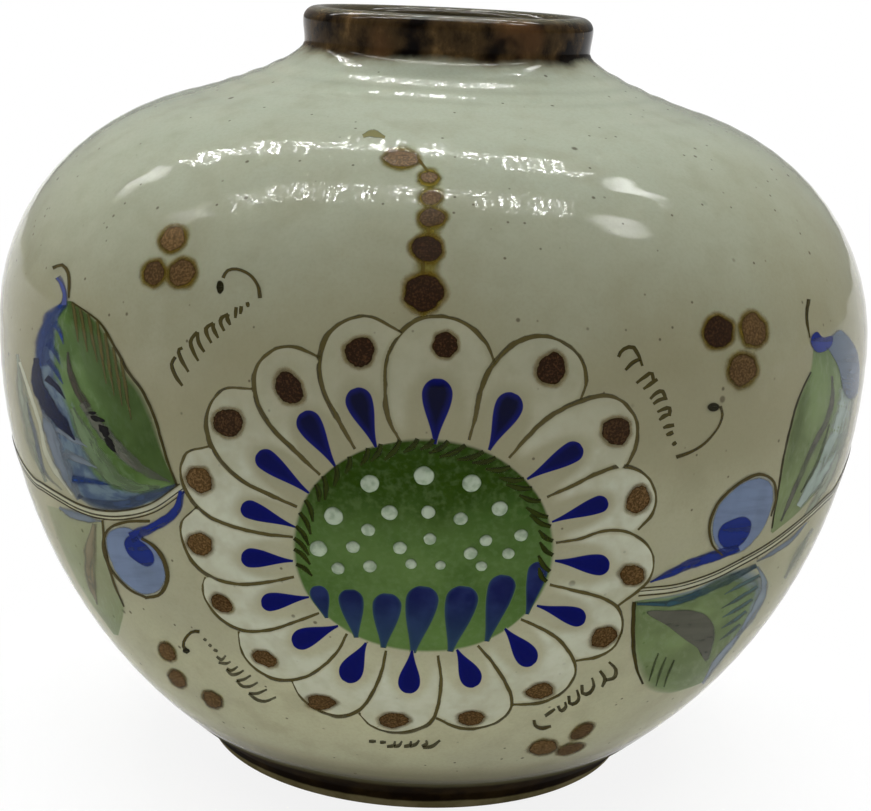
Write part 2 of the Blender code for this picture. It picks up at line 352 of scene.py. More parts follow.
class Paint:
    """Thin closed shapes on the wall that share one mesh, with what their finish reads.

    cover is how fully the colour hides the ground, tone shifts the colour, flow holds the
    lengths along and across the brush, and ink is the colour of a single stroke. Later shapes
    lie over earlier ones. With twin, each shape also lies mirrored on the back. Paint under the
    glaze is lit as the wall is, and only relief has a shading of its own.
    """

    FIELDS = {
        "cover": ("FLOAT", "value"),
        "tone": ("FLOAT", "value"),
        "flow": ("FLOAT_VECTOR", "vector"),
        "ink": ("FLOAT_COLOR", "color"),
    }

    def __init__(self, azimuth=0.0, length=0.0, twin=False, relief=False, order=TIE_BREAK):
        self.charts = [Chart(azimuth, length, mirrored) for mirrored in (False, True)[: 1 + twin]]
        self.relief = relief
        self.order = order
        self.points, self.facings, self.faces, self.smooth, self.grids = [], [], [], [], []
        self.fields = {label: [] for label in self.FIELDS}
        self.sheets = 0
        self.count = 0

    def from_pixels(self, pixels):
        return self.charts[0].at(*seen(pixels))

    def sheet(self, flat, lift, cover, tone, along, across, ink=OLIVE):
        """A sheet from a grid of flat points, closed by a lower sheet inside the clay."""
        rows, columns = flat.shape[:2]
        lift = lift + self.order * self.sheets
        self.sheets += 1
        grids = [np.broadcast_to(f, (rows, columns)) for f in (lift, cover, tone, along, across)]
        middle = flat[rows // 2, columns // 2]
        step_a = middle - flat[rows // 2 - 1, columns // 2]
        step_b = middle - flat[rows // 2, columns // 2 - 1]
        facing = step_a[0] * step_b[1] - step_a[1] * step_b[0]
        for chart in self.charts:
            order = -1 if (facing < 0) != chart.mirrored else 1
            self.add_sheet(chart, flat[:, ::order], *(g[:, ::order] for g in grids), ink)

    def add_sheet(self, chart, flat, lift, cover, tone, along, across, ink):
        rows, columns = flat.shape[:2]
        total = rows * columns
        for height in (lift, np.full((rows, columns), -UNDER)):
            self.points.append(chart.place(flat, height).reshape(-1, 3))
            self.facings.append(chart.facing(flat).reshape(-1, 3))
            self.fields["cover"].append(cover.ravel())
            self.fields["tone"].append(tone.ravel())
            self.fields["flow"].append(np.stack((along, across, 0 * along), axis=-1).ravel())
            self.fields["ink"].append(np.tile(linear(ink), total))
        self.grids.append((rows, columns))
        index = self.count + np.arange(total).reshape(rows, columns)
        corners = (index[:-1, :-1], index[1:, :-1], index[1:, 1:], index[:-1, 1:])
        top = np.stack(corners, axis=-1).reshape(-1, 4)
        edge = np.concatenate((index[:, 0], index[-1, 1:], index[-2::-1, -1], index[0, -2:0:-1]))
        after = np.roll(edge, -1)
        side = np.stack((edge + total, after + total, after, edge), axis=-1)
        for quads, is_smooth in ((top, True), (top[:, ::-1] + total, True), (side, not self.relief)):
            self.faces.append(quads)
            self.smooth.append(np.full(len(quads), is_smooth))
        self.count += 2 * total

    def stroke(
        self, points, halves, ink, layer=1, soft=0.0, full=1.0, shift=0.0, across=4, flat=False,
        rough=0.0, wash=0.0,
    ):
        """A brush stroke along a curve, with half widths along it, in pixels or flat mm.

        soft is the share of its half width that fades out, shift moves it aside, rough is the
        share of its width by which its edges waver, and wash is how unevenly the ink lies.
        """
        points = np.array(points, float)
        scale, least = (1, 0.06) if flat else (MM_PER_PIXEL, 0.35)
        length = lengths(points)[-1] * scale
        count = max(9, int(length / 0.7), len(halves))
        path = smooth_path(points, count)
        run = np.gradient(path, axis=0)
        run /= np.hypot(run[:, 0], run[:, 1])[:, None]
        aside = np.stack((-run[:, 1], run[:, 0]), axis=-1)
        half = np.maximum(spread(halves, count), least) * (1 + 0.3 * soft)
        share = np.linspace(-1, 1, across + 1)
        waver = 1.0
        for period in (2.1, 3.4, 5.8) if rough else ():
            turns = TURN * np.linspace(0, length / period, count)[:, None]
            starts = np.where(share < 0, *CHANCE.uniform(0, TURN, 2))
            waver = waver + rough * np.sin(turns + starts) / 2
        grid = path[:, None] + (half[:, None] * share * waver + shift)[..., None] * aside[:, None]
        cover = full * (1 - ease(0.999 - soft, 1.0, np.abs(share) * (soft > 0)))
        along = np.linspace(0, length, count)[:, None]
        width = half[:, None] * share * scale
        grid = grid if flat else self.from_pixels(grid)
        self.sheet(grid, FILM + LAYER * layer, cover, wash, along, width, ink)

    def drop(self, tail, end, half, layer, slim=1.5, flat=False):
        """A teardrop from its pointed tail to the end of its round head."""
        tail, end = np.array(tail, float), np.array(end, float)
        reach = np.hypot(*(end - tail))
        bulb = reach - half
        turn = np.linspace(0, math.pi / 2, 14)[1:]
        along = np.concatenate((np.linspace(0, bulb, 22), bulb + half * np.sin(turn)))
        taper = 0.10 + 0.90 * ease(-0.3, 1, np.linspace(0, 1, 22)) ** slim
        wide = half * np.maximum(np.concatenate((taper, np.cos(turn))), 0.02)
        run = (end - tail) / reach
        share = np.linspace(-1, 1, 11)
        path = tail + along[:, None] * run
        grid = path[:, None] + (wide[:, None] * share)[..., None] * np.array((-run[1], run[0]))
        edge = np.minimum((1 - np.abs(share)) * wide[:, None], (reach - along)[:, None]) / half
        grid = grid if flat else self.from_pixels(grid)
        self.sheet(grid, FILM + LAYER * layer, edge, 0.0, along[:, None], share)

    def disc(
        self, middle, wide, tall, turn=0.0, ink=OLIVE, layer=1, tone=0.0, rough=0.0, rise=0.0, soft=0.1,
        full=1.0, lift=None, swell=0.0, steps=14, flat=False,
    ):
        """A round or oval spot whose edge wavers by a share of its size. A soft of 1 fades from its middle.

        It is domed by rise, or where lift is given it stands that far out and swells with its cover.
        """
        x, y, radius = square_disc(steps)
        angle = np.arctan2(y, x)
        waver = 1.0
        for waves in (2, 3, 5, 7):
            swing = CHANCE.uniform(0.3, 1.0) / waves**0.5
            waver = waver + rough * swing * np.sin(waves * angle + CHANCE.uniform(0, TURN))
        x, y = x * wide * waver, y * tall * waver
        cos, sin = math.cos(math.radians(turn)), math.sin(math.radians(turn))
        grid = np.stack((middle[0] + x * cos - y * sin, middle[1] + x * sin + y * cos), axis=-1)
        cover = full * (1 - radius if soft == 1 else 1 - ease(0.999 - soft, 1.0, radius * (soft > 0)))
        if lift is None:
            height = FILM + LAYER * layer + rise * np.sqrt(np.clip(1 - radius**2, 0, 1))
        else:
            height = lift + swell * cover
        self.sheet(grid if flat else self.from_pixels(grid), height, cover, tone, x, y, ink)

    def blob(self, outline, ink, layer, wash):
        """A filled shape inside a smooth closed outline of pixels."""
        count = 120
        ring = smooth_path(outline, count + 1, closed=True)
        middle = ring[:-1].mean(axis=0)
        x, y, radius = square_disc(16)
        at = np.arctan2(y, x) / TURN % 1 * count
        edge = np.stack([np.interp(at, np.arange(count + 1), ring[:, i]) for i in (0, 1)], axis=-1)
        offset = radius[..., None] * (edge - middle)
        cover = 1 - ease(0.86, 1.0, radius)
        flow = np.moveaxis(offset, -1, 0) * MM_PER_PIXEL
        self.sheet(self.from_pixels(middle + offset), FILM + LAYER * layer, cover, wash, *flow, ink)

    def leaf(self, outer, inner, tones, full):
        """A leaf between two edges of pixels from its base to its tip. tones run from outer to inner."""
        steps, across = 70, 32
        share = np.linspace(0, 1, across + 1)[:, None]
        grid = smooth_path(outer, steps)[:, None] * (1 - share) + smooth_path(inner, steps)[:, None] * share
        side = share[:, 0] * 2 - 1
        cover = spread(full, steps)[:, None] * (1 - ease(0.90, 1.0, np.abs(side)))
        along = np.linspace(0, 40, steps)[:, None]
        self.sheet(self.from_pixels(grid), FILM, cover, spread(tones, across + 1), along, side * 10)

    def finish(self, name, material, slot):
        """The named piece."""
        faces = np.concatenate(self.faces)
        mesh = bpy.data.meshes.new(name)
        mesh.from_pydata(np.concatenate(self.points).tolist(), [], faces.tolist())
        mesh.polygons.foreach_set("use_smooth", np.concatenate(self.smooth))
        for label, (kind, key) in self.FIELDS.items():
            values = np.concatenate(self.fields[label])
            mesh.attributes.new(label, kind, "POINT").data.foreach_set(key, values)
        if not self.relief:
            mesh.normals_split_custom_set_from_vertices(np.concatenate(self.facings).tolist())
        cells = math.ceil(math.sqrt(len(self.grids)))
        places = []
        for i, sizes in enumerate(self.grids):
            sides = [np.linspace(0.05, 0.95, size) for size in sizes]
            grid = np.stack(np.meshgrid(*sides, indexing="ij"), axis=-1)
            places += [(grid.reshape(-1, 2) + (i % cells, i // cells)) / cells] * 2
        set_bake_places(mesh, np.concatenate(places)[faces.ravel()])
        return add_piece(name, mesh, material)


def set_bake_places(mesh, places):
    """Where each corner of the mesh lies on a baked picture of its finish."""
    layer = mesh.uv_layers.new(name="OFBake")
    layer.data.foreach_set("uv", np.asarray(places, float).ravel())


def add_object(name, data):
    made = bpy.data.objects.new(name, data)
    bpy.context.scene.collection.objects.link(made)
    return made


def add_piece(name, mesh, material):
    """An object on the vase's one body."""
    mesh.materials.append(material)
    piece = add_object(name, mesh)
    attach(piece, "root")
    return piece


class Net:
    """Short ways to add shader nodes."""

    def __init__(self, tree):
        self.tree = tree

    def add(self, kind, *values, out=0, **settings):
        node = self.tree.nodes.new("ShaderNode" + kind)
        for key, value in settings.items():
            setattr(node, key, value)
        for socket, value in zip(node.inputs, values):
            self.put(socket, value)
        return node.outputs[out]

    def put(self, socket, value):
        if isinstance(value, bpy.types.NodeSocket):
            self.tree.links.new(value, socket)
        elif value is not None:
            on_screen = socket.type == "RGBA" and len(value) == 3
            socket.default_value = linear(value) if on_screen else value

    def mix(self, amount, first, second):
        return self.add("Mix", amount, *[None] * 5, first, second, out=2, data_type="RGBA")

    def blend(self, first, second, value, low, high, most=1.0):
        """A colour that gives way to another while a value goes from low to high."""
        return self.mix(self.step(value, low, high, 0.0, most), first, second)

    def layers(self, color, *overs):
        """A colour with others laid over it in turn."""
        for over in overs:
            color = self.blend(color, *over)
        return color

    def math(self, operation, *values):
        return self.add("Math", *values, operation=operation)

    def times(self, first, second):
        return self.math("MULTIPLY", first, second)

    def plus(self, first, second):
        return self.math("ADD", first, second)

    def step(self, value, low, high, start=0.0, end=1.0):
        return self.add("MapRange", value, low, high, start, end, interpolation_type="SMOOTHSTEP")

    def place(self):
        return self.add("TexCoord", out=3)

    def part(self, vector, axis):
        return self.add("SeparateXYZ", vector, out=axis)

    def length(self, vector):
        return self.add("VectorMath", vector, operation="LENGTH", out=1)

    def stretch(self, vector, x, y, z):
        return self.add("Mapping", vector, None, None, (x, y, z))

    def noise(self, vector, scale, detail=3.0, rough=0.5):
        return self.add("TexNoise", vector, None, scale, detail, rough)

    def swing(self, value, amount):
        """A noise value about zero."""
        return self.times(self.math("SUBTRACT", value, 0.5), amount)

    def ragged(self, value, noise, amount):
        return self.plus(value, self.swing(noise, amount))

    def attribute(self, name, out=2):
        return self.add("Attribute", out=out, attribute_name=name)

    def ground(self):
        node = self.tree.nodes.new("ShaderNodeGroup")
        node.node_tree = GROUND
        return node.outputs[0]


def ground_group():
    """The grey-green stoneware glaze: cloudy, with iron specks. It is lighter and cooler on the shoulder as
    painted light from above, lighter and warmer low on the wall as painted light and reflection from the
    floor, and darkest round the belly as painted shade.
    """
    group = bpy.data.node_groups.new("ground_glaze", "ShaderNodeTree")
    group.interface.new_socket("Color", in_out="OUTPUT", socket_type="NodeSocketColor")
    net = Net(group)
    place = net.place()
    clouds = net.noise(place, 22.0, 5.0, 0.6)
    high = net.ragged(net.part(place, 2), clouds, 0.05)
    # The layers by height are painted light and shade: a lighter shoulder, a darker belly and a lighter
    # lower wall.
    color = net.layers(
        (128, 125, 100),
        ((150, 156, 139), high, 0.090, 0.142),
        ((150, 149, 125), high, 0.084, 0.062, 0.6),
        ((168, 167, 138), high, 0.058, 0.020),
        ((151, 150, 130), clouds, 0.50, 0.72, 0.35),
        ((120, 116, 91), net.noise(place, 140.0), 0.45, 0.75, 0.22),
        ((116, 110, 85), net.noise(place, 1600.0, 2.0), 0.35, 0.75, 0.12),
    )
    for scale, size, rarity in ((340.0, 0.075, 0.60), (190.0, 0.060, 0.50), (75.0, 0.040, 0.50)):
        apart = net.add("TexVoronoi", place, None, scale)
        chosen = net.add("SeparateColor", apart.node.outputs["Color"])
        kept = net.step(chosen, rarity, rarity + 0.02)
        speck = net.times(net.step(apart, size * 1.6, size * 0.7), kept)
        color = net.mix(net.times(speck, 0.75), color, (64, 56, 40))
    net.put(group.nodes.new("NodeGroupOutput").inputs[0], color)
    return group


GROUND = ground_group()


def glazed(name, paint, gloss=0.02):
    """A glazed finish. paint gives its color, and can give its rough, its shine and its cover."""
    material = bpy.data.materials.new(name)
    material.use_nodes = True
    net = Net(material.node_tree)
    place = net.place()
    look = {"rough": None, "shine": None, "cover": None} | paint(net, place)
    if look["rough"] is None:
        look["rough"] = net.step(net.noise(place, 60.0), 0.3, 0.7, 0.6 * gloss, 1.8 * gloss)
    shine = net.step(net.part(place, 2), 0.060, 0.115, 0.06, 0.6)
    if look["shine"] is not None:
        shine = net.times(shine, look["shine"])
    bump = net.tree.nodes.new("ShaderNodeBump")
    bump.inputs["Strength"].default_value = 1.0
    bump.inputs["Distance"].default_value = GRAIN_DEPTH
    net.put(bump.inputs["Height"], net.noise(place, 2200.0, 2.0))
    inputs = material.node_tree.nodes["Principled BSDF"].inputs
    inputs["IOR"].default_value = GLAZE_IOR
    net.put(inputs["Base Color"], look["color"])
    net.put(inputs["Roughness"], look["rough"])
    net.put(inputs["Specular IOR Level"], shine)
    net.put(inputs["Alpha"], look["cover"])
    net.put(inputs["Normal"], bump.outputs[0])
    return material


def brushed(net, place):
    """A stroke in its own ink: streaky along the brush and uneven where it pooled."""
    cover = net.attribute("cover")
    streaks = net.noise(net.stretch(net.attribute("flow", 1), 0.10, 0.7, 1.0), 1.0, 3.0, 0.6)
    pools = net.noise(place, 170.0)
    thin = net.plus(net.step(streaks, 0.42, 0.72, 0.0, 0.5), net.step(pools, 0.42, 0.72, 0.0, 0.4))
    thin = net.times(thin, net.step(net.attribute("tone"), 0.0, 1.0, 0.15, 0.8))
    ragged = net.ragged(cover, net.noise(place, 700.0), 0.3)
    edge = net.times(net.step(ragged, 0.10, 0.85), net.step(cover, 0.0, 0.2))
    return {"color": net.attribute("ink", 0), "cover": net.times(edge, net.math("SUBTRACT", 1.0, thin))}


def leaf_colours(net, place):
    """Leaf green brushed into blue: tone -0.5 is dark green, 0 green and 1 blue."""
    tone = net.attribute("tone")
    strokes = net.noise(net.stretch(net.attribute("flow", 1), 0.30, 0.55, 1.0), 1.0, 4.0, 0.65)
    green = net.layers(
        (62, 84, 38),
        ((86, 108, 62), net.noise(place, 95.0), 0.35, 0.7),
        ((98, 115, 84), strokes, 0.48, 0.66, 0.4),
        ((46, 62, 26), tone, 0.0, -0.5, 0.75),
    )
    blue = net.blend((58, 72, 92), (86, 101, 110), strokes, 0.38, 0.62)
    body = net.blend(green, blue, net.ragged(tone, strokes, 0.6), 0.38, 0.62)
    return {"color": net.mix(net.attribute("cover"), net.ground(), body)}


def cobalt(net, place):
    """Cobalt blue: nearly black where it is thick, and clear blue at its edge."""
    cover = net.attribute("cover")
    deep = net.blend((9, 13, 72), (2, 4, 32), net.part(place, 2), 0.070, 0.095)
    body = net.blend((13, 17, 82), deep, net.ragged(cover, net.noise(place, 260.0), 0.25), 0.0, 0.6)
    return {"color": net.blend(net.ground(), body, cover, 0.0, 0.07)}


def slip(net, place):
    """White slip under the glaze, with soft edges, and covering less high on the wall."""
    ground = net.ground()
    uneven = net.step(net.noise(place, 110.0, 4.0, 0.6), 0.28, 0.68, 0.45, 0.80)
    uneven = net.times(uneven, net.step(net.part(place, 2), 0.072, 0.098, 1.0, 0.32))
    body = net.blend((176, 179, 162), (164, 166, 147), net.noise(place, 300.0, 2.0), 0.4, 0.7)
    return {"color": net.mix(net.attribute("cover"), ground, net.mix(uneven, ground, body))}


def white_dot(net, place):
    """Thick white slip in the green centre."""
    body = net.blend((148, 159, 140), (122, 136, 115), net.noise(place, 700.0, 2.0), 0.4, 0.7)
    return {"color": net.blend((96, 116, 80), body, net.attribute("cover"), 0.0, 0.35)}


def iron(net, place):
    """Iron brown: a dry, grainy middle, a dark rim and an ochre stain that bleeds out of it."""
    ragged = net.ragged(net.swing(net.noise(place, 420.0), 0.20), net.noise(place, 1700.0, 2.0), 0.12)
    whole = net.attribute("cover")
    cover = net.plus(whole, ragged)
    grain = net.noise(place, 2600.0, 3.0, 0.7)
    dark = net.blend((30, 17, 6), (64, 42, 23), grain, 0.46, 0.70)
    light = net.blend((70, 52, 25), (116, 92, 58), grain, 0.40, 0.66)
    # tone turns a dot paler. On a few dots this paleness is a painted highlight.
    body = net.mix(net.attribute("tone"), dark, light)
    body = net.blend(body, (32, 22, 9), cover, 0.42, 0.30, 0.8)
    dry = net.step(cover, 0.27, 0.33)
    stain = net.times(net.step(cover, 0.05, 0.30, 0.0, 0.55), net.step(whole, 0.0, 0.1))
    return {
        "color": net.mix(dry, (104, 82, 20), body),
        "rough": net.step(cover, 0.28, 0.40, 0.08, 0.5),
        "cover": net.math("MAXIMUM", dry, stain),
    }


def green_centre(net, place):
    """The green middle of the flower: mottled, and darker and richer at the top."""
    clouds = net.noise(place, 75.0, 4.0, 0.6)
    high = net.ragged(net.part(place, 2), clouds, 0.022)
    body = net.layers(
        (54, 78, 32),
        ((74, 96, 50), clouds, 0.35, 0.7),
        ((30, 50, 0), high, 0.068, 0.082),
        ((82, 108, 56), high, 0.060, 0.048, 0.6),
        ((98, 114, 78), net.noise(place, 900.0, 2.0), 0.4, 0.75, 0.2),
    )
    return {"color": net.blend(net.ground(), body, net.attribute("cover"), 0.0, 0.9)}


def blue_on_green(net, place):
    """Cobalt over the green centre: blue at the top of each stroke, greener towards its tail."""
    cover = net.attribute("cover")
    body = net.layers(
        (16, 20, 58),
        ((30, 38, 76), net.noise(place, 180.0), 0.35, 0.7),
        ((36, 56, 72), net.part(place, 2), 0.060, 0.048, 0.6),
        ((46, 68, 74), cover, 0.3, 0.05, 0.4),
    )
    return {"color": net.blend((74, 96, 50), body, cover, 0.0, 0.1)}


def body_glaze(net, place):
    """The body: ground glaze, iron-brown rim and foot with painted shade above the foot's crease, a pale
    crest along the lip that is partly a painted highlight, and bare clay where it stands.
    """
    height = net.part(place, 2)
    sideways = net.length(net.stretch(place, 1.0, 1.0, 0.0))
    waver = net.swing(net.noise(place, 70.0, 4.0, 0.6), 0.0035)
    level = net.plus(height, waver)
    low = net.plus(height, net.times(waver, 0.35))
    streaks = net.noise(net.stretch(place, 1.0, 1.0, 0.7), 120.0, 5.0, 0.65)
    brown = net.layers(
        (18, 12, 6),
        ((60, 46, 26), streaks, 0.36, 0.58),
        ((100, 78, 48), streaks, 0.54, 0.70),
        ((88, 60, 36), net.noise(place, 48.0, 2.0), 0.54, 0.66, 0.6),
        ((5, 3, 2), net.noise(place, 62.0, 3.0, 0.6), 0.50, 0.42, 0.95),
        # The pale crest along the top of the lip: glaze thin over the edge, and partly a painted highlight.
        ((112, 112, 94), height, 0.1528, 0.1540, 0.5),
    )
    rim = ((108, 98, 66), level, 0.1436, 0.1460, 0.5), (brown, level, 0.1448, 0.1466)
    inside = net.times(net.step(sideways, 0.0262, 0.0250), net.step(height, 0.120, 0.140))
    color = net.mix(inside, net.layers(net.ground(), *rim), (62, 56, 40))
    # Down to the foot: the first two layers darken towards the crease as painted shade, then come the dark
    # iron band and the olive foot ring.
    color = net.layers(
        color,
        ((104, 98, 70), low, 0.0180, 0.0116, 0.75),
        ((70, 66, 44), low, 0.0122, 0.0100, 0.8),
        (net.blend((14, 7, 2), (36, 26, 10), streaks, 0.4, 0.65), low, 0.0094, 0.0076),
        (net.blend((98, 90, 60), (122, 113, 82), streaks, 0.35, 0.65), low, 0.0027, 0.0020),
    )
    clay = net.blend((152, 128, 98), (128, 102, 74), net.noise(place, 500.0, 4.0, 0.7), 0.35, 0.7)
    under = net.times(net.step(sideways, 0.0432, 0.0424), net.step(height, 0.0070, 0.0060))
    rough = net.step(net.noise(place, 60.0), 0.3, 0.7, 0.012, 0.035)
    rough = net.plus(rough, net.step(low, 0.0110, 0.0090, 0.0, 0.6))
    shine = net.plus(net.step(height, 0.1450, 0.1470, 1.0, 0.35), net.step(height, 0.1516, 0.1532, 0.0, 1.2))
    shine = net.times(shine, net.step(low, 0.0110, 0.0090, 1.0, 0.3))
    return {"color": net.mix(under, color, clay), "rough": rough, "shine": shine}


BRUSHED = glazed("brushed_glaze", brushed)
LEAF = glazed("leaf_glaze", leaf_colours)
IRON = glazed("iron_spot_glaze", iron)


def bend(start, corner, end, steps):
    """Points round a corner, without the last."""
    start, corner, end = (np.array(p, float) for p in (start, corner, end))
    shares = np.linspace(0, 1, steps, endpoint=False)
    return [tuple((1 - t) ** 2 * start + 2 * t * (1 - t) * corner + t * t * end) for t in shares]


def body_rows():
    """The half outline from the middle of the underside, up the outside, over the lip and down inside.

    Each row is (radius, height, length up the wall or None).
    """
    under = [(r, FOOT_TOP) for r in (0.0, 8.0, 16.0, 24.0)]
    under += bend((29.5, FOOT_TOP), (FOOT_INNER, FOOT_TOP), (FOOT_INNER, 2.6), 6)
    under += bend((FOOT_INNER, 1.2), (FOOT_INNER, 0.0), (FOOT_INNER + 1.1, 0.0), 5)
    under += [(FOOT_INNER + 1.4, 0.0), (37.0, 0.0), (40.5, 0.0)]
    under += bend((FOOT_OUTER - 1.3, 0.0), (FOOT_OUTER - 0.1, 0.0), (FOOT_OUTER + 0.4, 1.0), 6)
    under += bend((FOOT_OUTER + 0.4, 1.0), (BASE[0] - 0.9, 4.3), (BASE[0] - 0.4, 4.72), 7)
    rows = [(r, z, None) for r, z in under]
    for length in np.concatenate((np.linspace(LENGTH[0], 0, 84), np.linspace(0, LENGTH[-1], 96)[1:])):
        rows.append((float(wall_radius(length)), float(wall_height(length)), float(length)))
    start = RIM_TOP - LIP_ROUND
    for share in np.linspace(0, 1, 8)[1:-1]:
        bulge = LIP_BULGE * float(ease(0, 1, share))
        rows.append((NECK[0] + bulge, NECK[1] + share * (start - NECK[1]), None))
    middle = NECK[0] + LIP_BULGE / 2 - WALL_THICK / 2
    half = WALL_THICK / 2 + LIP_BULGE / 2
    for turn in np.linspace(0, math.pi, 25):
        rows.append((middle + half * math.cos(turn), start + LIP_ROUND * math.sin(turn), None))
    inside = WALL + WALL_THICK * np.stack((-RUN[:, 1], RUN[:, 0]), axis=-1)
    kept = inside[inside[:, 1] > FLOOR_TOP + 4][::-9]
    rows += [(float(r), float(z), None) for r, z in kept]
    flat = (FLOOR_RADIUS - 6.0, FLOOR_TOP)
    rows += [(*p, None) for p in bend(kept[-1], (FLOOR_RADIUS + 3.0, FLOOR_TOP), flat, 7)[1:]]
    rows += [(r, FLOOR_TOP, None) for r in (flat[0], 26.0, 13.0, 0.0)]
    return rows


def make_body():
    """The glazed vase as one closed skin, in place of the five clay sections."""
    turns = 256
    azimuth = np.linspace(0, TURN, turns, endpoint=False)
    rows = body_rows()
    points, starts = [], []
    for radius, height, length in rows:
        starts.append(len(points))
        if radius == 0:
            points.append((0.0, 0.0, height / 1000))
        elif length is None:
            ring = (radius * np.sin(azimuth), -radius * np.cos(azimuth), np.full(turns, height))
            points += (np.stack(ring, axis=-1) / 1000).tolist()
        else:
            points += on_wall(azimuth, length, 0.0).tolist()
    run = lengths([row[:2] for row in rows])
    level = run / run[-1]
    faces, places = [], []
    for i in range(len(rows) - 1):
        here, after = starts[i], starts[i + 1]
        low, high = level[i], level[i + 1]
        for j in range(turns):
            k = (j + 1) % turns
            near, far = j / turns, (j + 1) / turns
            if rows[i][0] == 0:
                faces.append((here, after + k, after + j))
                places += [(near, low), (far, high), (near, high)]
            elif rows[i + 1][0] == 0:
                faces.append((here + j, here + k, after))
                places += [(near, low), (far, low), (near, high)]
            else:
                faces.append((here + j, here + k, after + k, after + j))
                places += [(near, low), (far, low), (far, high), (near, high)]
    mesh = bpy.data.meshes.new("glazed_body")
    mesh.from_pydata(points, [], faces)
    mesh.polygons.foreach_set("use_smooth", np.ones(len(faces), bool))
    set_bake_places(mesh, places)
    body = add_piece("glazed_body", mesh, glazed("stoneware_glaze", body_glaze))
    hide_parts("foot_ring", "lower_bowl", "shoulder_dome", "neck_collar", "rim_ring")


# The petals by their pixels, clockwise from the top. Each has its outline from the centre over
# the tip to the next petal's line, its blue drop as tail, end and half width, and its iron spot as
# middle, half width, half height, tilt in degrees and paleness.
PETALS = (
    (((400, 441), (389, 420), (384, 388), (386, 358), (396, 338), (416, 322), (440, 318), (466, 325),
      (486, 343), (495, 364)), ((435, 444), (438, 378), 16.0), ((445, 345), 13.0, 12.5, 0, 0.0)),
    (((469, 440), (475, 418), (482, 386), (494, 363), (514, 344), (536, 337), (562, 343), (581, 361),
      (586, 380), (580, 401)), ((489, 450), (515, 393), 14.5), ((551, 369), 14.5, 16.0, 0, 0.0)),
    (((509, 458), (528, 436), (550, 416), (580, 401), (604, 396), (624, 404), (636, 424), (635, 448),
      (623, 472)), ((527, 479), (582, 446), 11.0), ((616, 431), 14.5, 14.0, 0, 0.1)),
    (((547, 497), (572, 486), (598, 473), (622, 466), (642, 473), (654, 491), (653, 512), (638, 530)),
     ((552, 522), (608, 501), 9.0), ((638, 500), 14.0, 11.5, -60, 0.6)),
    (((556, 543), (580, 539), (604, 531), (627, 532), (645, 543), (653, 560), (647, 582), (618, 606)),
     ((555, 561), (610, 566), 11.0), ((632, 575), 12.0, 11.0, 0, 0.6)),
    (((550, 585), (575, 591), (602, 598), (618, 608), (622, 624), (613, 647), (597, 657), (576, 661)),
     ((537, 606), (586, 620), 10.0), ((604, 637), 14.0, 9.5, -20, 0.5)),
    (((521, 620), (540, 628), (560, 641), (572, 657), (575, 672), (565, 689), (543, 702), (512, 705)),
     ((505, 629), (534, 665), 12.0), ((540, 691), 13.5, 8.0, -5, 0.6)),
    (((478, 646), (494, 665), (506, 684), (512, 703), (503, 717), (484, 726), (460, 728), (436, 718)),
     ((457, 650), (476, 687), 11.5), ((471, 718), 13.5, 7.0, 0, 0.5)),
    (((438, 656), (441, 680), (438, 706), (430, 723), (410, 731), (388, 731), (370, 724), (359, 713)),
     ((412, 651), (408, 694), 11.5), ((394, 720), 15.0, 7.5, 0, 0.5)),
    (((386, 651), (382, 670), (372, 694), (358, 711), (340, 716), (318, 709), (300, 695), (292, 680)),
     ((366, 643), (345, 682), 12.5), ((321, 702), 14.5, 7.5, 8, 0.5)),
    (((347, 634), (337, 652), (318, 670), (298, 679), (276, 679), (255, 667), (242, 650), (239, 631)),
     ((338, 626), (292, 643), 11.0), ((265, 658), 12.5, 7.5, 25, 0.5)),
    (((319, 613), (295, 622), (268, 630), (243, 630), (222, 619), (208, 602), (203, 587), (206, 577)),
     ((309, 597), (261, 603), 9.5), ((222, 603), 12.0, 8.0, 30, 0.4)),
    (((294, 577), (268, 582), (240, 584), (214, 578), (195, 564), (184, 543), (182, 523), (197, 507)),
     ((293, 561), (241, 557), 10.0), ((200, 544), 13.5, 10.5, 20, 0.7)),
    (((293, 537), (265, 534), (235, 527), (208, 516), (190, 498), (181, 474), (186, 454), (211, 446)),
     ((295, 527), (241, 506), 9.5), ((199, 480), 14.0, 12.0, 35, 0.7)),
    (((297, 507), (270, 495), (242, 481), (218, 458), (207, 433), (209, 409), (224, 390), (254, 389)),
     ((309, 493), (257, 453), 11.0), ((228, 423), 14.5, 14.5, 0, 0.1)),
    (((320, 475), (296, 452), (271, 427), (256, 400), (256, 371), (270, 353), (293, 347), (321, 358)),
     ((335, 466), (302, 412), 13.0), ((289, 388), 17.0, 13.0, 53, 0.0)),
    (((355, 449), (340, 423), (323, 390), (319, 362), (328, 335), (346, 322), (366, 317), (388, 325),
      (402, 333)), ((376, 447), (354, 388), 14.0), ((360, 352), 15.0, 14.5, 0, 0.0)),
)


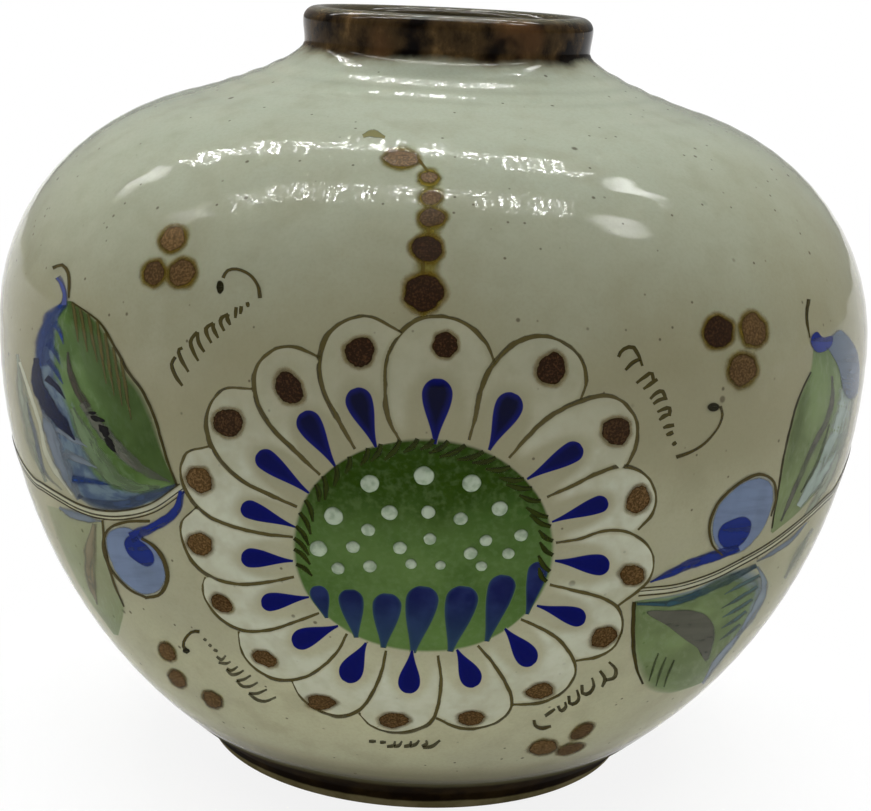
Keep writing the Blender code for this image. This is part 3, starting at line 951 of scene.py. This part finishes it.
def petal_slip(white, own, following, drop):
    """The white fill of a petal: thick along its edge and tip, and bare round the blue drop."""
    steps = 40
    middle = (own[0] + following[0]) / 2
    tip = int(np.argmax(np.hypot(*(own - middle).T)))
    join = int(np.argmin(np.hypot(*(following - own[-1]).T)))
    outer = smooth_path(own[: tip + 1 : 6], steps)
    inner = smooth_path(np.concatenate((following[:join:6], own[-1:tip:-6], own[tip : tip + 1])), steps)
    share = np.linspace(0, 1, 29)
    grid = outer[:, None] * (1 - share[:, None]) + inner[:, None] * share[:, None]
    tail, end, half = np.array(drop[0], float), np.array(drop[1], float), drop[2]
    reach = np.hypot(*(end - tail))
    run = (end - tail) / reach
    offset = grid - tail
    along = offset @ run
    beside = offset @ np.array((-run[1], run[0]))
    tongue = np.hypot(beside / (2.0 * half), (along - 0.45 * reach) / (0.70 * reach))
    rows = np.linspace(0, 1, steps)[:, None]
    cover = (0.08 + 0.92 * ease(0.75, 1.2, tongue)) * (1 - ease(0.84, 0.98, np.abs(share * 2 - 1)))
    cover = cover * ease(0, 0.2, rows) * (1 - ease(0.93, 1.0, rows))
    flat = white.from_pixels(grid)
    white.sheet(flat, SLIP_RISE * cover - 0.002, cover, 0.0, along * MM_PER_PIXEL, beside * MM_PER_PIXEL)


def iron_dot(paint, middle, wide, tall, turn, tone, lift):
    """An iron dot, thickest in its middle. Its stain reaches past its own size."""
    wide, tall = (STAIN_REACH * size for size in (wide, tall))
    paint.disc(middle, wide, tall, turn, rough=0.08, soft=1.0, tone=tone, lift=lift, swell=IRON_SWELL)


def nodes(start):
    """The solids whose names start so."""
    return [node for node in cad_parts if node.startswith(start)]


def make_petals():
    """Slip, outline, drop and iron spot of each petal. Lines are heavier high in the picture."""
    white, lines, drops, spots = (Paint() for _ in range(4))
    paths = [smooth_path(outline, 120) for outline, _, _ in PETALS]
    for i, (outline, drop, spot) in enumerate(PETALS):
        petal_slip(white, paths[i], paths[(i + 1) % len(PETALS)], drop)
        high = max(0.0, (LIGHT_LINES - outline[4][1]) / HEAVIER_OVER)
        weight = CHANCE.uniform(1.8, 2.2) + 1.4 * high
        halves = (1.6, weight, weight, 1.15 * weight, weight, 1.3)
        lines.stroke(outline, halves, PETAL_LINE, 2, soft=0.5, rough=0.16, wash=0.3)
        drops.drop(*drop, layer=4)
        iron_dot(spots, *spot, SLIP_RISE)
    slips = white.finish("petal_slip", glazed("white_slip_glaze", slip), "white_slip")
    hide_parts(*nodes("petal_loop_"))
    lines.finish("petal_outlines", BRUSHED, "iron_brown_glaze")
    drops.finish("cobalt_drops", glazed("cobalt_glaze", cobalt), "grey_glaze")
    spots.finish("petal_spots", IRON, "iron_brown_glaze")


# Blue strokes of the flower's centre: head across and up, tail across, half width
CENTRE_STROKES = (
    (-18.2, -8.0, -16.3, 1.7),
    (-12.4, -8.0, -11.0, 2.2),
    (-5.7, -8.2, -6.2, 2.5),
    (0.5, -6.3, -1.0, 2.8),
    (7.4, -6.0, 5.5, 2.8),
    (14.2, -3.7, 11.8, 2.4),
    (20.2, -1.2, 18.6, 1.8),
)


def make_centre():
    """The green middle with its hatching, white dots and blue strokes."""
    green, hatch, teeth = (Paint(0.0, -FLOWER_DROP) for _ in range(3))
    dots = Paint(0.0, -FLOWER_DROP, relief=True)
    green.disc((0.0, 0.0), CENTRE_WIDE, CENTRE_TALL, rough=0.005, soft=0.03, steps=44, flat=True)
    green.finish("flower_centre", glazed("green_centre_glaze", green_centre), "grey_glaze")
    for i in range(HATCHES):
        turn = math.radians(HATCH_START + HATCH_STEP * i + CHANCE.uniform(-1.5, 1.5))
        lean = turn + 0.8
        edge = 0.985 * np.array((CENTRE_WIDE * math.sin(turn), CENTRE_TALL * math.cos(turn)))
        inner = edge - CHANCE.uniform(2.8, 4.8) * np.array((math.sin(lean), math.cos(lean)))
        bow = (edge + inner) / 2 + 0.5 * np.array((math.cos(turn), -math.sin(turn)))
        hatch.stroke((edge, bow, inner), (0.42, 0.56, 0.24), HATCHING, 3, soft=0.5, across=6, flat=True)
    hatch.finish("centre_hatching", BRUSHED, "iron_brown_glaze")
    for head, up, foot, half in CENTRE_STROKES:
        low = -CENTRE_TALL * math.sqrt(1 - (foot / CENTRE_WIDE) ** 2)
        teeth.drop((foot, low), (head, up), 1.06 * half, 3, slim=1.15, flat=True)
    teeth.finish("centre_strokes", glazed("blue_on_green_glaze", blue_on_green), "grey_glaze")
    solids = nodes("slip_dot_")
    for node in solids:
        low, high = (np.array(corner) * 1000 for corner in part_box(node))
        x, y, z = (low + high) / 2
        size = (high[0] - low[0]) / 2
        middle = dots.charts[0].at(math.atan2(x, -y), wall_length(z))
        dots.disc(middle, size, size, layer=2, rough=0.03, rise=DOT_RISE, soft=0.25, steps=12, flat=True)
    whites = dots.finish("slip_dots", glazed("white_dot_glaze", white_dot, 0.15), "white_slip")
    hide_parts(*solids)


# Iron dots by their pixels: middle, half width, half height, tilt in degrees and paleness
CHAIN_DOTS = (
    ((424, 293), 19.5, 19.0, 0, 0.0),
    ((427, 249), 16.0, 13.0, 0, 0.0),
    ((432, 218), 13.5, 8.5, 0, 0.4),
    # The paleness of the next three dots is mostly a painted highlight.
    ((431, 198), 10.0, 6.5, 0, 0.8),
    ((429, 178), 8.5, 5.5, 0, 0.8),
    ((401, 159), 18.0, 8.0, 3, 1.0),
)
CHAIN_LINKS = (
    (((423, 276), (423, 260)), (2.5, 2.0, 2.5)),
    (((428, 238), (429, 226)), (2.0, 1.4, 2.0)),
    (((431, 211), (431, 204)), (2.0, 1.6, 2.0)),
    (((430, 174), (425, 168), (419, 160)), (1.0, 1.4, 1.6)),
)
CHAIN_STAIN = (((430, 170), (431, 198), (432, 219), (429, 250), (425, 291), (424, 318)),
               (3, 9, 15, 17, 19, 6))
CHAIN_STREAK = (((363, 137), (372, 134), (385, 138)), (2, 4.5, 1.5))
TRIO_DOTS = (
    # The paleness of this dot is a painted highlight.
    ((173, 239), 14.0, 11.0, -40, 1.0),
    ((154, 273), 13.0, 10.0, -65, 0.4),
    ((182, 273), 15.0, 12.5, -50, 0.6),
    ((718, 332), 14.5, 16.5, 0, 0.0),
    ((753, 330), 13.0, 16.5, -10, 0.6),
    ((742, 370), 14.0, 16.0, 10, 0.6),
    ((168, 651), 10.5, 6.5, 50, 0.7),
    ((178, 678), 10.5, 6.5, 45, 0.7),
    ((213, 699), 11.5, 6.5, 38, 0.7),
    ((543, 747), 14.0, 7.0, -10, 0.9),
    ((582, 731), 13.0, 5.5, -28, 0.5),
    ((570, 749), 14.0, 4.5, -18, 0.7),
)


def make_dots():
    """The chain of iron dots above the flower and the four groups of three."""
    dots, stains = (Paint(0.0, DOTS_UP, twin=True) for _ in range(2))
    stains.stroke(*CHAIN_STAIN, OCHRE, 0, soft=0.9, full=0.62, across=14, rough=0.1)
    for middle, wide, tall, turn, _ in CHAIN_DOTS + TRIO_DOTS:
        more = STAIN_ABOVE if middle[1] < LOW_DOTS else STAIN_BELOW
        stains.disc(middle, wide + more, tall + more, turn, OCHRE, soft=0.62, full=0.78, rough=0.06)
    for link in CHAIN_LINKS:
        stains.stroke(*link, LINK, 3, full=0.8)
    stains.stroke(*CHAIN_STREAK, STREAK, soft=0.6)
    for dot in CHAIN_DOTS + TRIO_DOTS:
        iron_dot(dots, *dot, IRON_LIFT)
    dots.finish("iron_dots", IRON, "iron_brown_glaze")
    stains.finish("dot_stains", BRUSHED, "iron_brown_glaze")


# Comb marks by their pixels: half width, how fully they cover, and hooked strokes from the hook on.
# The rows are upper left, upper right, lower left, lower right and bottom.
COMBS = (
    (1.9, 0.95, ((175, 357), (171, 364), (175, 376), (182, 386)),
     ((182, 348), (178, 350), (180, 358), (188, 372)), ((197, 332), (190, 341), (192, 350), (198, 361)),
     ((197, 332), (198, 342), (204, 352)), ((213, 323), (206, 328), (206, 333), (211, 343)),
     ((213, 323), (213, 328), (218, 338)), ((228, 314), (221, 318), (220, 322), (224, 331)),
     ((228, 314), (227, 318), (230, 325)), ((236, 307), (235, 318)), ((241, 306), (240, 314)),
     ((247, 302), (248, 307))),
    (1.9, 0.95, ((618, 357), (622, 350), (632, 347), (638, 355), (642, 366)),
     ((640, 359), (632, 363), (625, 370)), ((653, 380), (651, 373), (644, 377), (636, 383)),
     ((657, 379), (650, 384), (643, 389)), ((666, 400), (662, 391), (656, 393), (650, 399)),
     ((665, 398), (659, 400), (653, 404)), ((669, 416), (669, 408), (663, 409), (657, 412)),
     ((669, 414), (664, 416), (659, 420)), ((674, 425), (668, 426), (663, 428)), ((673, 432), (666, 435)),
     ((676, 442), (672, 445))),
    (1.4, 0.6, ((204, 638), (207, 640)), ((209, 644), (212, 646)), ((214, 649), (218, 651)),
     ((217, 656), (222, 659), (226, 655)), ((219, 662), (227, 663), (231, 661)),
     ((227, 668), (232, 670), (238, 666)), ((227, 669), (232, 674), (239, 673), (244, 670)),
     ((237, 680), (244, 679), (251, 675)), ((237, 680), (243, 686), (250, 686), (258, 682)),
     ((249, 693), (258, 693), (267, 689)), ((249, 693), (257, 699), (265, 701), (276, 697))),
    (1.7, 0.7, ((545, 716), (551, 712), (555, 709)), ((558, 706), (561, 711), (566, 707), (565, 702)),
     ((569, 696), (570, 704), (576, 703), (579, 698), (577, 690)),
     ((582, 685), (583, 694), (590, 693), (594, 686), (592, 678)), ((600, 671), (605, 679), (602, 687)),
     ((606, 680), (614, 678), (616, 670), (609, 662))),
    (1.5, 0.65, ((369, 741), (376, 741)), ((380, 742), (386, 742)), ((387, 746), (394, 745), (395, 741)),
     ((394, 746), (399, 745), (402, 741)), ((404, 746), (410, 745), (411, 741)),
     ((410, 746), (416, 744), (419, 740)), ((422, 746), (427, 743), (426, 740)),
     ((423, 747), (432, 746), (440, 740))),
)
# Longer tails by the combs, with their half widths
COMB_TAILS = (
    (((223, 278), (227, 271), (236, 269), (250, 275), (258, 286), (260, 298)), (2.0, 1.8, 1.8, 2.4)),
    (((720, 406), (722, 415), (719, 425), (712, 435), (702, 445), (690, 452), (676, 457)),
     (1.8, 1.2, 1.6, 2.2)),
    (((200, 631), (193, 631), (186, 638), (184, 645), (189, 652)), (2.0, 1.8, 1.8, 2.6)),
    (((534, 720), (535, 725), (541, 728), (551, 726)), (1.8, 2.2, 2.4, 1.5)),
)
COMB_KNOBS = (((220, 287), 4.5, 7.5), ((713, 407), 7.0, 5.0), ((187, 650), 4.0, 3.0))


def make_combs():
    """The five rows of comb marks round the flower."""
    marks = Paint()
    for half, full, *strokes in COMBS:
        for pixels in strokes:
            marks.stroke(pixels, (0.9 * half, 1.1 * half, 0.7 * half), COMB, full=full, rough=0.1)
    for pixels, halves in COMB_TAILS:
        marks.stroke(pixels, halves, OLIVE_LINE, full=0.75, soft=0.4, across=6)
    for middle, wide, tall in COMB_KNOBS:
        marks.disc(middle, wide, tall, ink=KNOB, rough=0.05, soft=0.3)
    marks.finish("comb_marks", BRUSHED, "iron_brown_glaze")


# The sprays by their pixels. A leaf is its two edges, its tones and how fully it covers. Strokes are
# their ink, half widths, how fully they cover, and the points of each. A bud is its outline, its head,
# and a blue stroke and two lines with their half widths.
LEFT_LEAVES = (
    (((177, 487), (150, 503), (120, 511), (92, 508), (72, 492), (58, 465), (47, 428), (36, 400),
      (33, 368), (37, 342), (46, 318), (65, 301)),
     ((177, 486), (166, 460), (153, 417), (141, 390), (127, 372), (114, 347), (99, 323), (71, 301)),
     (1.0, 0.8, 0.4, 0.0, -0.35, -0.5, -0.5), (1.0,)),
    (((46, 505), (60, 545), (82, 590), (114, 634)),
     ((103, 520), (106, 550), (115, 583), (125, 606), (119, 635)), (0.15, 0.2, 0.1, 0.0), (0.3, 0.45, 0.7)),
)
LEFT_STROKES = (
    (GREY_GREEN, (2, 7, 7, 2), 0.7, ((18, 354), (23, 395), (32, 440), (46, 482))),
    (CREAM, (1.5, 2, 2, 3, 1), 1.0, ((20, 362), (30, 393), (40, 424), (47, 455), (72, 495))),
    (VIOLET, (1, 3, 3, 1), 0.6, ((27, 402), (36, 436), (45, 472), (62, 490))),
    (VIOLET, (2, 8, 9, 4), 0.9, ((41, 402), (52, 438), (64, 468), (80, 499))),
    (LIGHT_GREEN, (3, 9, 11, 7, 2), 0.95, ((72, 408), (88, 442), (108, 472), (132, 487), (160, 487))),
    (VIOLET, (5, 4, 0.6), 1.0, ((58, 428), (72, 438), (87, 447)), ((64, 452), (80, 460), (97, 468))),
    (SLATE, (5, 4, 0.6), 0.7, ((72, 479), (90, 481), (110, 485))),
    (SLATE, (4, 9, 10, 7), 1.0, ((64, 304), (52, 317), (45, 338), (42, 366))),
    (SLATE, (4, 3, 0.6), 1.0, ((54, 322), (60, 332), (63, 344)), ((48, 342), (55, 352), (60, 364)),
     ((48, 360), (56, 371), (63, 384))),
    (NAVY, (4, 3, 0.6), 1.0, ((46, 378), (56, 386), (65, 399))),
    (NAVY, (3, 7, 8, 7, 1), 1.0, ((36, 358), (38, 384), (48, 405), (61, 422), (75, 440))),
    (BAND_BLUE, (2, 6, 7, 6, 2), 1.0, ((177, 485), (150, 496), (122, 505), (97, 504), (78, 496))),
    (BROWN_RIB, (1.5, 3.5, 4.5, 5), 1.0, ((68, 352), (69, 367), (75, 386), (87, 408))),
    (GREY_RIB, (4, 7, 7, 7, 5, 1), 1.0,
     ((82, 403), (97, 424), (112, 442), (130, 460), (148, 473), (170, 482))),
    (RIB_OLIVE, (2.0, 2.1, 0.8), 0.8, ((73, 303), (76, 325), (78, 342)), ((80, 309), (84, 332), (87, 352)),
     ((88, 314), (93, 342), (97, 362)), ((97, 321), (101, 352), (106, 384)),
     ((105, 333), (109, 366), (114, 396)), ((113, 347), (118, 380), (122, 406)),
     ((121, 358), (126, 392), (131, 420))),
    (OLIVE, (1.0, 1.7, 1.8, 1.5), 0.95,
     ((72, 302), (99, 322), (114, 346), (128, 372), (142, 391), (154, 417), (167, 460), (177, 486))),
    (OLIVE_LINE, (2, 2.2, 2, 1), 0.9, ((53, 268), (62, 265), (68, 272), (69, 298))),
    (STEM_BLUE, (4, 3, 3, 4.5), 0.95, ((58, 277), (62, 284), (65, 294), (64, 305))),
    (VIOLET, (2, 6, 5, 1), 0.9, ((60, 507), (76, 515), (92, 519), (103, 521))),
    (PALE_RIB, (3, 7, 6, 1), 0.9, ((95, 524), (91, 548), (91, 575), (98, 604))),
    (OLIVE_LINE, (1.5, 2.0, 1.5, 1), 0.85, ((103, 520), (106, 550), (115, 583), (125, 606))),
)
LEFT_BURNS = (
    ((97, 419), 7.0, 2.6, 25),
    ((104, 431), 7.0, 4.0, 60),
    ((110, 444), 8.0, 3.4, 55),
    ((92, 413), 4.0, 1.6, 0),
)
LEFT_STEM = ((182, 488), (152, 508), (122, 515), (100, 514), (80, 508), (58, 496), (36, 482))
LEFT_BUD = (
    ((106, 545), (106, 533), (114, 526), (128, 525), (145, 538), (158, 550), (167, 568), (167, 583),
     (160, 593), (147, 596), (131, 588), (115, 571)),
    ((124, 541), (130, 534), (142, 540), (154, 552), (156, 562), (149, 567), (138, 562), (128, 553)),
    (((182, 491), (176, 511), (157, 525), (131, 537)), (3, 5, 5, 6)),
    (((150, 521), (125, 522), (109, 529), (104, 546), (113, 570), (131, 589), (148, 597)),
     (1.6, 1.6, 1.5, 1.3)),
    (((142, 538), (155, 546), (166, 563), (168, 581), (160, 594), (146, 597)), (1.6, 2.4, 2.4, 1.6)),
)
RIGHT_LEAVES = (
    (((634, 602), (632, 640), (636, 670), (648, 690), (668, 694), (690, 688), (702, 683)),
     ((636, 601), (690, 590), (745, 567), (766, 580), (760, 604), (738, 640), (702, 684)),
     (0.0, 0.0, 0.1, 0.3, 0.6), (0.8,)),
    (((770, 531), (777, 490), (783, 455), (790, 425), (798, 398), (809, 373), (813, 350)),
     ((772, 533), (800, 510), (826, 478), (843, 440), (853, 404), (852, 370), (836, 344)),
     (0.0, 0.0, 0.1, 0.3, 0.4), (0.7, 0.75, 0.85)),
)
RIGHT_STROKES = (
    (GREY_GREEN, (2, 6, 6, 3), 0.7, ((800, 522), (826, 480), (841, 440), (850, 402))),
    (LIGHT_TEAL, (5, 10, 11, 10, 4), 0.75, ((847, 366), (846, 400), (836, 436), (820, 470), (798, 506))),
    (DARK_GREEN, (3, 8, 7, 2), 0.3, ((811, 372), (804, 400), (797, 428), (789, 462))),
    (OLIVE, (1, 1.4, 1.4, 1), 0.7, ((771, 528), (778, 488), (784, 453), (799, 397), (811, 372))),
    (DARK_RIB, (1.5, 3.2, 3.2, 3, 2.6, 1.2), 1.0,
     ((832, 376), (832, 400), (826, 421), (814, 444), (800, 475), (780, 521))),
    (DARK_GREEN, (1, 2, 2, 1), 0.8, ((829, 424), (821, 450), (813, 470), (800, 492))),
    (OLIVE, (2.2, 1.8, 0.8), 1.0, ((809, 299), (807, 317), (810, 338))),
    (VIOLET, (1.5, 3.5, 3, 1), 0.8, ((756, 561), (772, 552), (788, 541), (806, 522))),
    (GREY_GREEN, (2, 5, 2), 0.6, ((812, 528), (798, 552), (784, 578))),
    (TEAL, (2, 4.5, 5, 3), 1.0, ((637, 604), (674, 602), (716, 585), (756, 565))),
    (BLUE_GREY, (2, 5, 5, 2), 0.9, ((757, 566), (764, 582), (757, 606), (736, 638))),
    (BLUE_GREY, (3, 5, 2), 0.8, ((738, 636), (718, 660), (703, 684))),
    (FINGER_TEAL, (2.5, 3, 0.6), 0.8, ((759, 575), (742, 584), (724, 594)),
     ((757, 586), (740, 597), (721, 608)), ((752, 599), (738, 608), (722, 617)),
     ((746, 611), (734, 620), (721, 628))),
    (FINGER_TEAL, (2, 2.5, 0.6), 0.7, ((740, 624), (730, 632), (719, 640))),
    (OLIVE, (2.5, 2.6, 1.4), 0.9, ((634, 602), (633, 640), (637, 670), (643, 684))),
    (DARK_GREEN, (1.2, 1.8, 0.8), 0.8, ((658, 653), (653, 668), (649, 681)),
     ((666, 657), (660, 672), (656, 686)), ((674, 660), (668, 674), (664, 687))),
)
RIGHT_BLOBS = (
    (DARK_RIB,
     ((644, 611), (668, 609), (692, 609), (708, 615), (716, 628), (714, 646), (707, 664), (699, 650),
      (686, 641), (668, 627))),
    (CAP_BLUE,
     ((824, 341), (832, 333), (839, 327), (849, 335), (858, 352), (860, 376), (857, 396), (849, 402),
      (842, 389), (838, 368), (830, 353))),
    (BLUE,
     ((810, 342), (812, 334), (817, 331), (823, 337), (833, 336), (832, 346), (822, 353), (815, 352))),
)
RIGHT_STEM = ((640, 592), (675, 588), (710, 577), (740, 562), (772, 543), (804, 518), (832, 492))
RIGHT_BUD = (
    ((713, 545), (710, 525), (716, 506), (728, 492), (743, 480), (760, 475), (771, 480), (774, 494),
     (770, 515), (757, 538), (738, 555), (724, 555)),
    ((716, 536), (720, 525), (730, 519), (744, 515), (751, 520), (750, 531), (743, 543), (733, 549),
     (721, 547)),
    (((650, 582), (670, 573), (692, 563), (716, 555), (738, 547)), (1, 4, 5, 5.5, 4)),
    (((722, 555), (712, 545), (709, 525), (716, 505), (728, 491)), (1.0, 1.6, 1.7, 1.5)),
    (((728, 491), (743, 480), (760, 474), (772, 480), (775, 496), (770, 516)), (1.5, 1.8, 1.5, 0.8)),
)
# The lines of a stem in flat mm: ink, half width, how far aside, layer and how fully it covers
STEM_LINES = (
    (CREAM, 0.78, 0, 2, 0.9),
    (OLIVE_LINE, 0.2, 0.2, 3, 0.7),
    (OLIVE_LINE, 0.2, -0.8, 3, 0.7),
    (OLIVE_LINE, 0.18, 0.82, 3, 0.7),
)


def make_stem(brush, stem, rise):
    """A stem along pixels that runs on and up to the side of the vase, where its mirror image begins."""
    chart = brush.charts[0]
    run = brush.from_pixels(smooth_path(stem, 24))
    across, up = run[-1]
    side = (math.copysign(TURN / 4, chart.azimuth) - chart.azimuth) * wall_radius(up + rise + chart.length)
    side += math.copysign(0.2, chart.azimuth)
    run = np.concatenate((run, ((0.5 * (across + side), up + 0.8 * rise), (side, up + rise))))
    for ink, half, shift, layer, full in STEM_LINES:
        brush.stroke(run, (0.6 * half, half, half, half), ink, layer, full=full, shift=shift, flat=True)


def make_spray(name, azimuth, leaves, strokes, blobs, burns, stem, rise, bud):
    """Leaves, stem and bud on one side of the flower, and their guessed mirror image on the back."""
    fill, brush = (Paint(azimuth, SPRAY_UP, twin=True, order=SPRAY_TIE_BREAK) for _ in range(2))
    for leaf in leaves:
        fill.leaf(*leaf)
    for ink, halves, full, *paths in strokes:
        wash = 0.0 if ink in EVEN_INKS else 1.0
        soft = 0.55 + 0.2 * wash
        for points in paths:
            brush.stroke(points, halves, ink, full=full, across=10, soft=soft, rough=0.12, wash=wash)
    for ink, outline in blobs:
        brush.blob(outline, ink, 1, 0.35)
    for middle, wide, tall, turn in burns:
        brush.disc(middle, wide, tall, turn, BURNT, layer=2, rough=0.22, soft=0.0)
    make_stem(brush, stem, rise)
    outline, head, stroke, *lines = bud
    brush.blob(outline, PALE_BLUE, 3, 0.3)
    brush.blob(head, BLUE, 4, 0.4)
    brush.stroke(*stroke, BLUE, 4, across=8, soft=0.4, rough=0.08, wash=0.5)
    for pixels, halves in lines:
        brush.stroke(pixels, halves, OLIVE_LINE, 4, full=0.8, soft=0.3, across=6, rough=0.08)
    fill.finish(name + "_leaves", LEAF, "grey_glaze")
    brush.finish(name + "_strokes", BRUSHED, "grey_glaze")


make_body()
make_petals()
make_centre()
make_dots()
make_combs()
make_spray("left_spray", -SPRAY_ROUND, LEFT_LEAVES, LEFT_STROKES, (), LEFT_BURNS, LEFT_STEM, 3.0, LEFT_BUD)
make_spray(
    "right_spray", SPRAY_ROUND, RIGHT_LEAVES, RIGHT_STROKES, RIGHT_BLOBS, (), RIGHT_STEM, 6.0, RIGHT_BUD
)


def seen_directly(net):
    """1 for what the camera sees, also in a mirror or through glass, and 0 for light on its way."""
    path = net.tree.nodes.new("ShaderNodeLightPath")
    direct = net.math("MAXIMUM", path.outputs["Is Camera Ray"], path.outputs["Is Glossy Ray"])
    return net.math("MAXIMUM", direct, path.outputs["Is Transmission Ray"])


def make_stage():
    """A pale floor that fades to white away from the vase."""
    mesh = bpy.data.meshes.new("floor")
    size = 30.0
    corners = [(-size, -size, 0), (size, -size, 0), (size, size, 0), (-size, size, 0)]
    mesh.from_pydata(corners, [], [(0, 1, 2, 3)])
    material = bpy.data.materials.new("pale_floor")
    material.use_nodes = True
    net = Net(material.node_tree)
    shader = material.node_tree.nodes["Principled BSDF"]
    shader.inputs["Base Color"].default_value = (0.88, 0.88, 0.87, 1)
    shader.inputs["Roughness"].default_value = 0.7
    white = net.add("Emission", (1, 1, 1, 1), 1.0)
    amount = net.times(seen_directly(net), net.step(net.length(net.place()), 0.05, 0.12, 0.86, 1.0))
    mixed = net.add("MixShader", amount, shader.outputs[0], white)
    net.put(material.node_tree.nodes["Material Output"].inputs["Surface"], mixed)
    mesh.materials.append(material)
    add_object("floor", mesh)


def small_lights(light, place, half, row, turn):
    """Gives a lamp groups of small lights out to row on both sides, and a soft glow at each end.

    half is half its depth as seen from above. Lengths are in metres.
    """
    light.use_nodes = True
    net = Net(light.node_tree)
    spot = net.add("NewGeometry")
    across = net.math("SUBTRACT", net.part(spot, 0), place[0])
    apart = net.math("ABSOLUTE", across)
    line = net.math("MULTIPLY_ADD", across, math.tan(turn), place[1])
    aside = net.math("ABSOLUTE", net.math("SUBTRACT", net.part(spot, 1), line))
    wave = net.math("SINE", net.times(across, TURN / GROUP_PITCH))
    cells = net.add("TexVoronoi", net.stretch(spot, 1.0, 0.32, 0.32), None, 110.0)
    dots = net.step(cells, 0.36, 0.22, BETWEEN_DOTS, DOT_LIGHT)
    dots = net.times(net.step(wave, -0.7, 0.3, 0.25, 1.0), dots)
    dots = net.times(dots, net.step(apart, row + 0.02, row - 0.02))
    end = light.size / 2
    glow = net.times(net.step(apart, row + 0.04, row + 0.16), net.step(apart, end, end - 0.25))
    glow = net.times(glow, net.step(across, -row, row, *GLOW_LIGHT))
    strength = net.times(net.plus(dots, glow), net.step(aside, half, half / 2))
    net.put(light.node_tree.nodes["Emission"].inputs["Strength"], strength)


def lamp(name, place, wide, tall, watts, row=0.0, turn=0.0, mirrored=True):
    """A rectangular lamp that faces the vase."""
    light = bpy.data.lights.new(name, "AREA")
    light.shape = "RECTANGLE"
    light.size, light.size_y = wide, tall
    light.energy = watts
    aim = Vector((0, 0, 0.1)) - Vector(place)
    turn = math.radians(turn)
    if row:
        small_lights(light, place, tall / 2 * -aim.z / aim.length, row, turn)
    made = add_object(name, light)
    made.location = place
    back = -aim.normalized()
    along = Vector((math.cos(turn), math.sin(turn), 0))
    along = (along - along.dot(back) * back).normalized()
    made.rotation_euler = Matrix((along, back.cross(along), back)).transposed().to_euler()
    made.visible_glossy = mirrored


def make_light():
    """Two rows of small lights overhead, soft light from above and the sides, and an even room."""
    lamp("row_near", (-0.12, 0.03, 1.1), 2.1, 0.20, 7.0, row=0.56, turn=-3.0)
    lamp("row_far", (-0.14, 0.57, 1.1), 2.1, 0.22, 7.9, row=0.56, turn=-9.0)
    lamp("soft_above", (0, 0.1, 1.7), 1.5, 1.5, 3.2, mirrored=False)
    lamp("soft_front", (0, -1.6, 0.16), 1.6, 0.25, 8.6, mirrored=False)
    lamp("soft_left", (-1.4, 0.75, 0.6), 1.0, 1.0, 19.0, mirrored=False)
    lamp("soft_right", (1.4, 0.85, 0.6), 1.0, 1.0, 19.0, mirrored=False)
    world = bpy.data.worlds.new("room")
    world.use_nodes = True
    background = world.node_tree.nodes["Background"]
    background.inputs["Color"].default_value = (1.0, 1.0, 0.98, 1)
    net = Net(world.node_tree)
    seen_white = net.math("MULTIPLY_ADD", seen_directly(net), 1 - ROOM_LIGHT, ROOM_LIGHT)
    less = net.times(net.add("LightPath", out=3), 1 - ROOM_MIRRORED)
    net.put(background.inputs["Strength"], net.math("SUBTRACT", seen_white, less))
    bpy.context.scene.world = world


def make_camera():
    camera = bpy.data.cameras.new("camera")
    camera.sensor_fit = "HORIZONTAL"
    camera.sensor_width = SENSOR_WIDTH
    camera.lens = SENSOR_WIDTH * FOCAL_PIXELS / PHOTO_WIDTH
    camera.clip_start = 0.01
    camera.clip_end = 100
    made = add_object("camera", camera)
    turn = Matrix((RIGHT, UP, -FORWARD)).transposed()
    made.matrix_world = Matrix.Translation(CAMERA_PLACE / 1000) @ turn.to_4x4()
    bpy.context.scene.camera = made


make_stage()
make_light()
make_camera()
bpy.context.scene.view_settings.view_transform = "Standard"
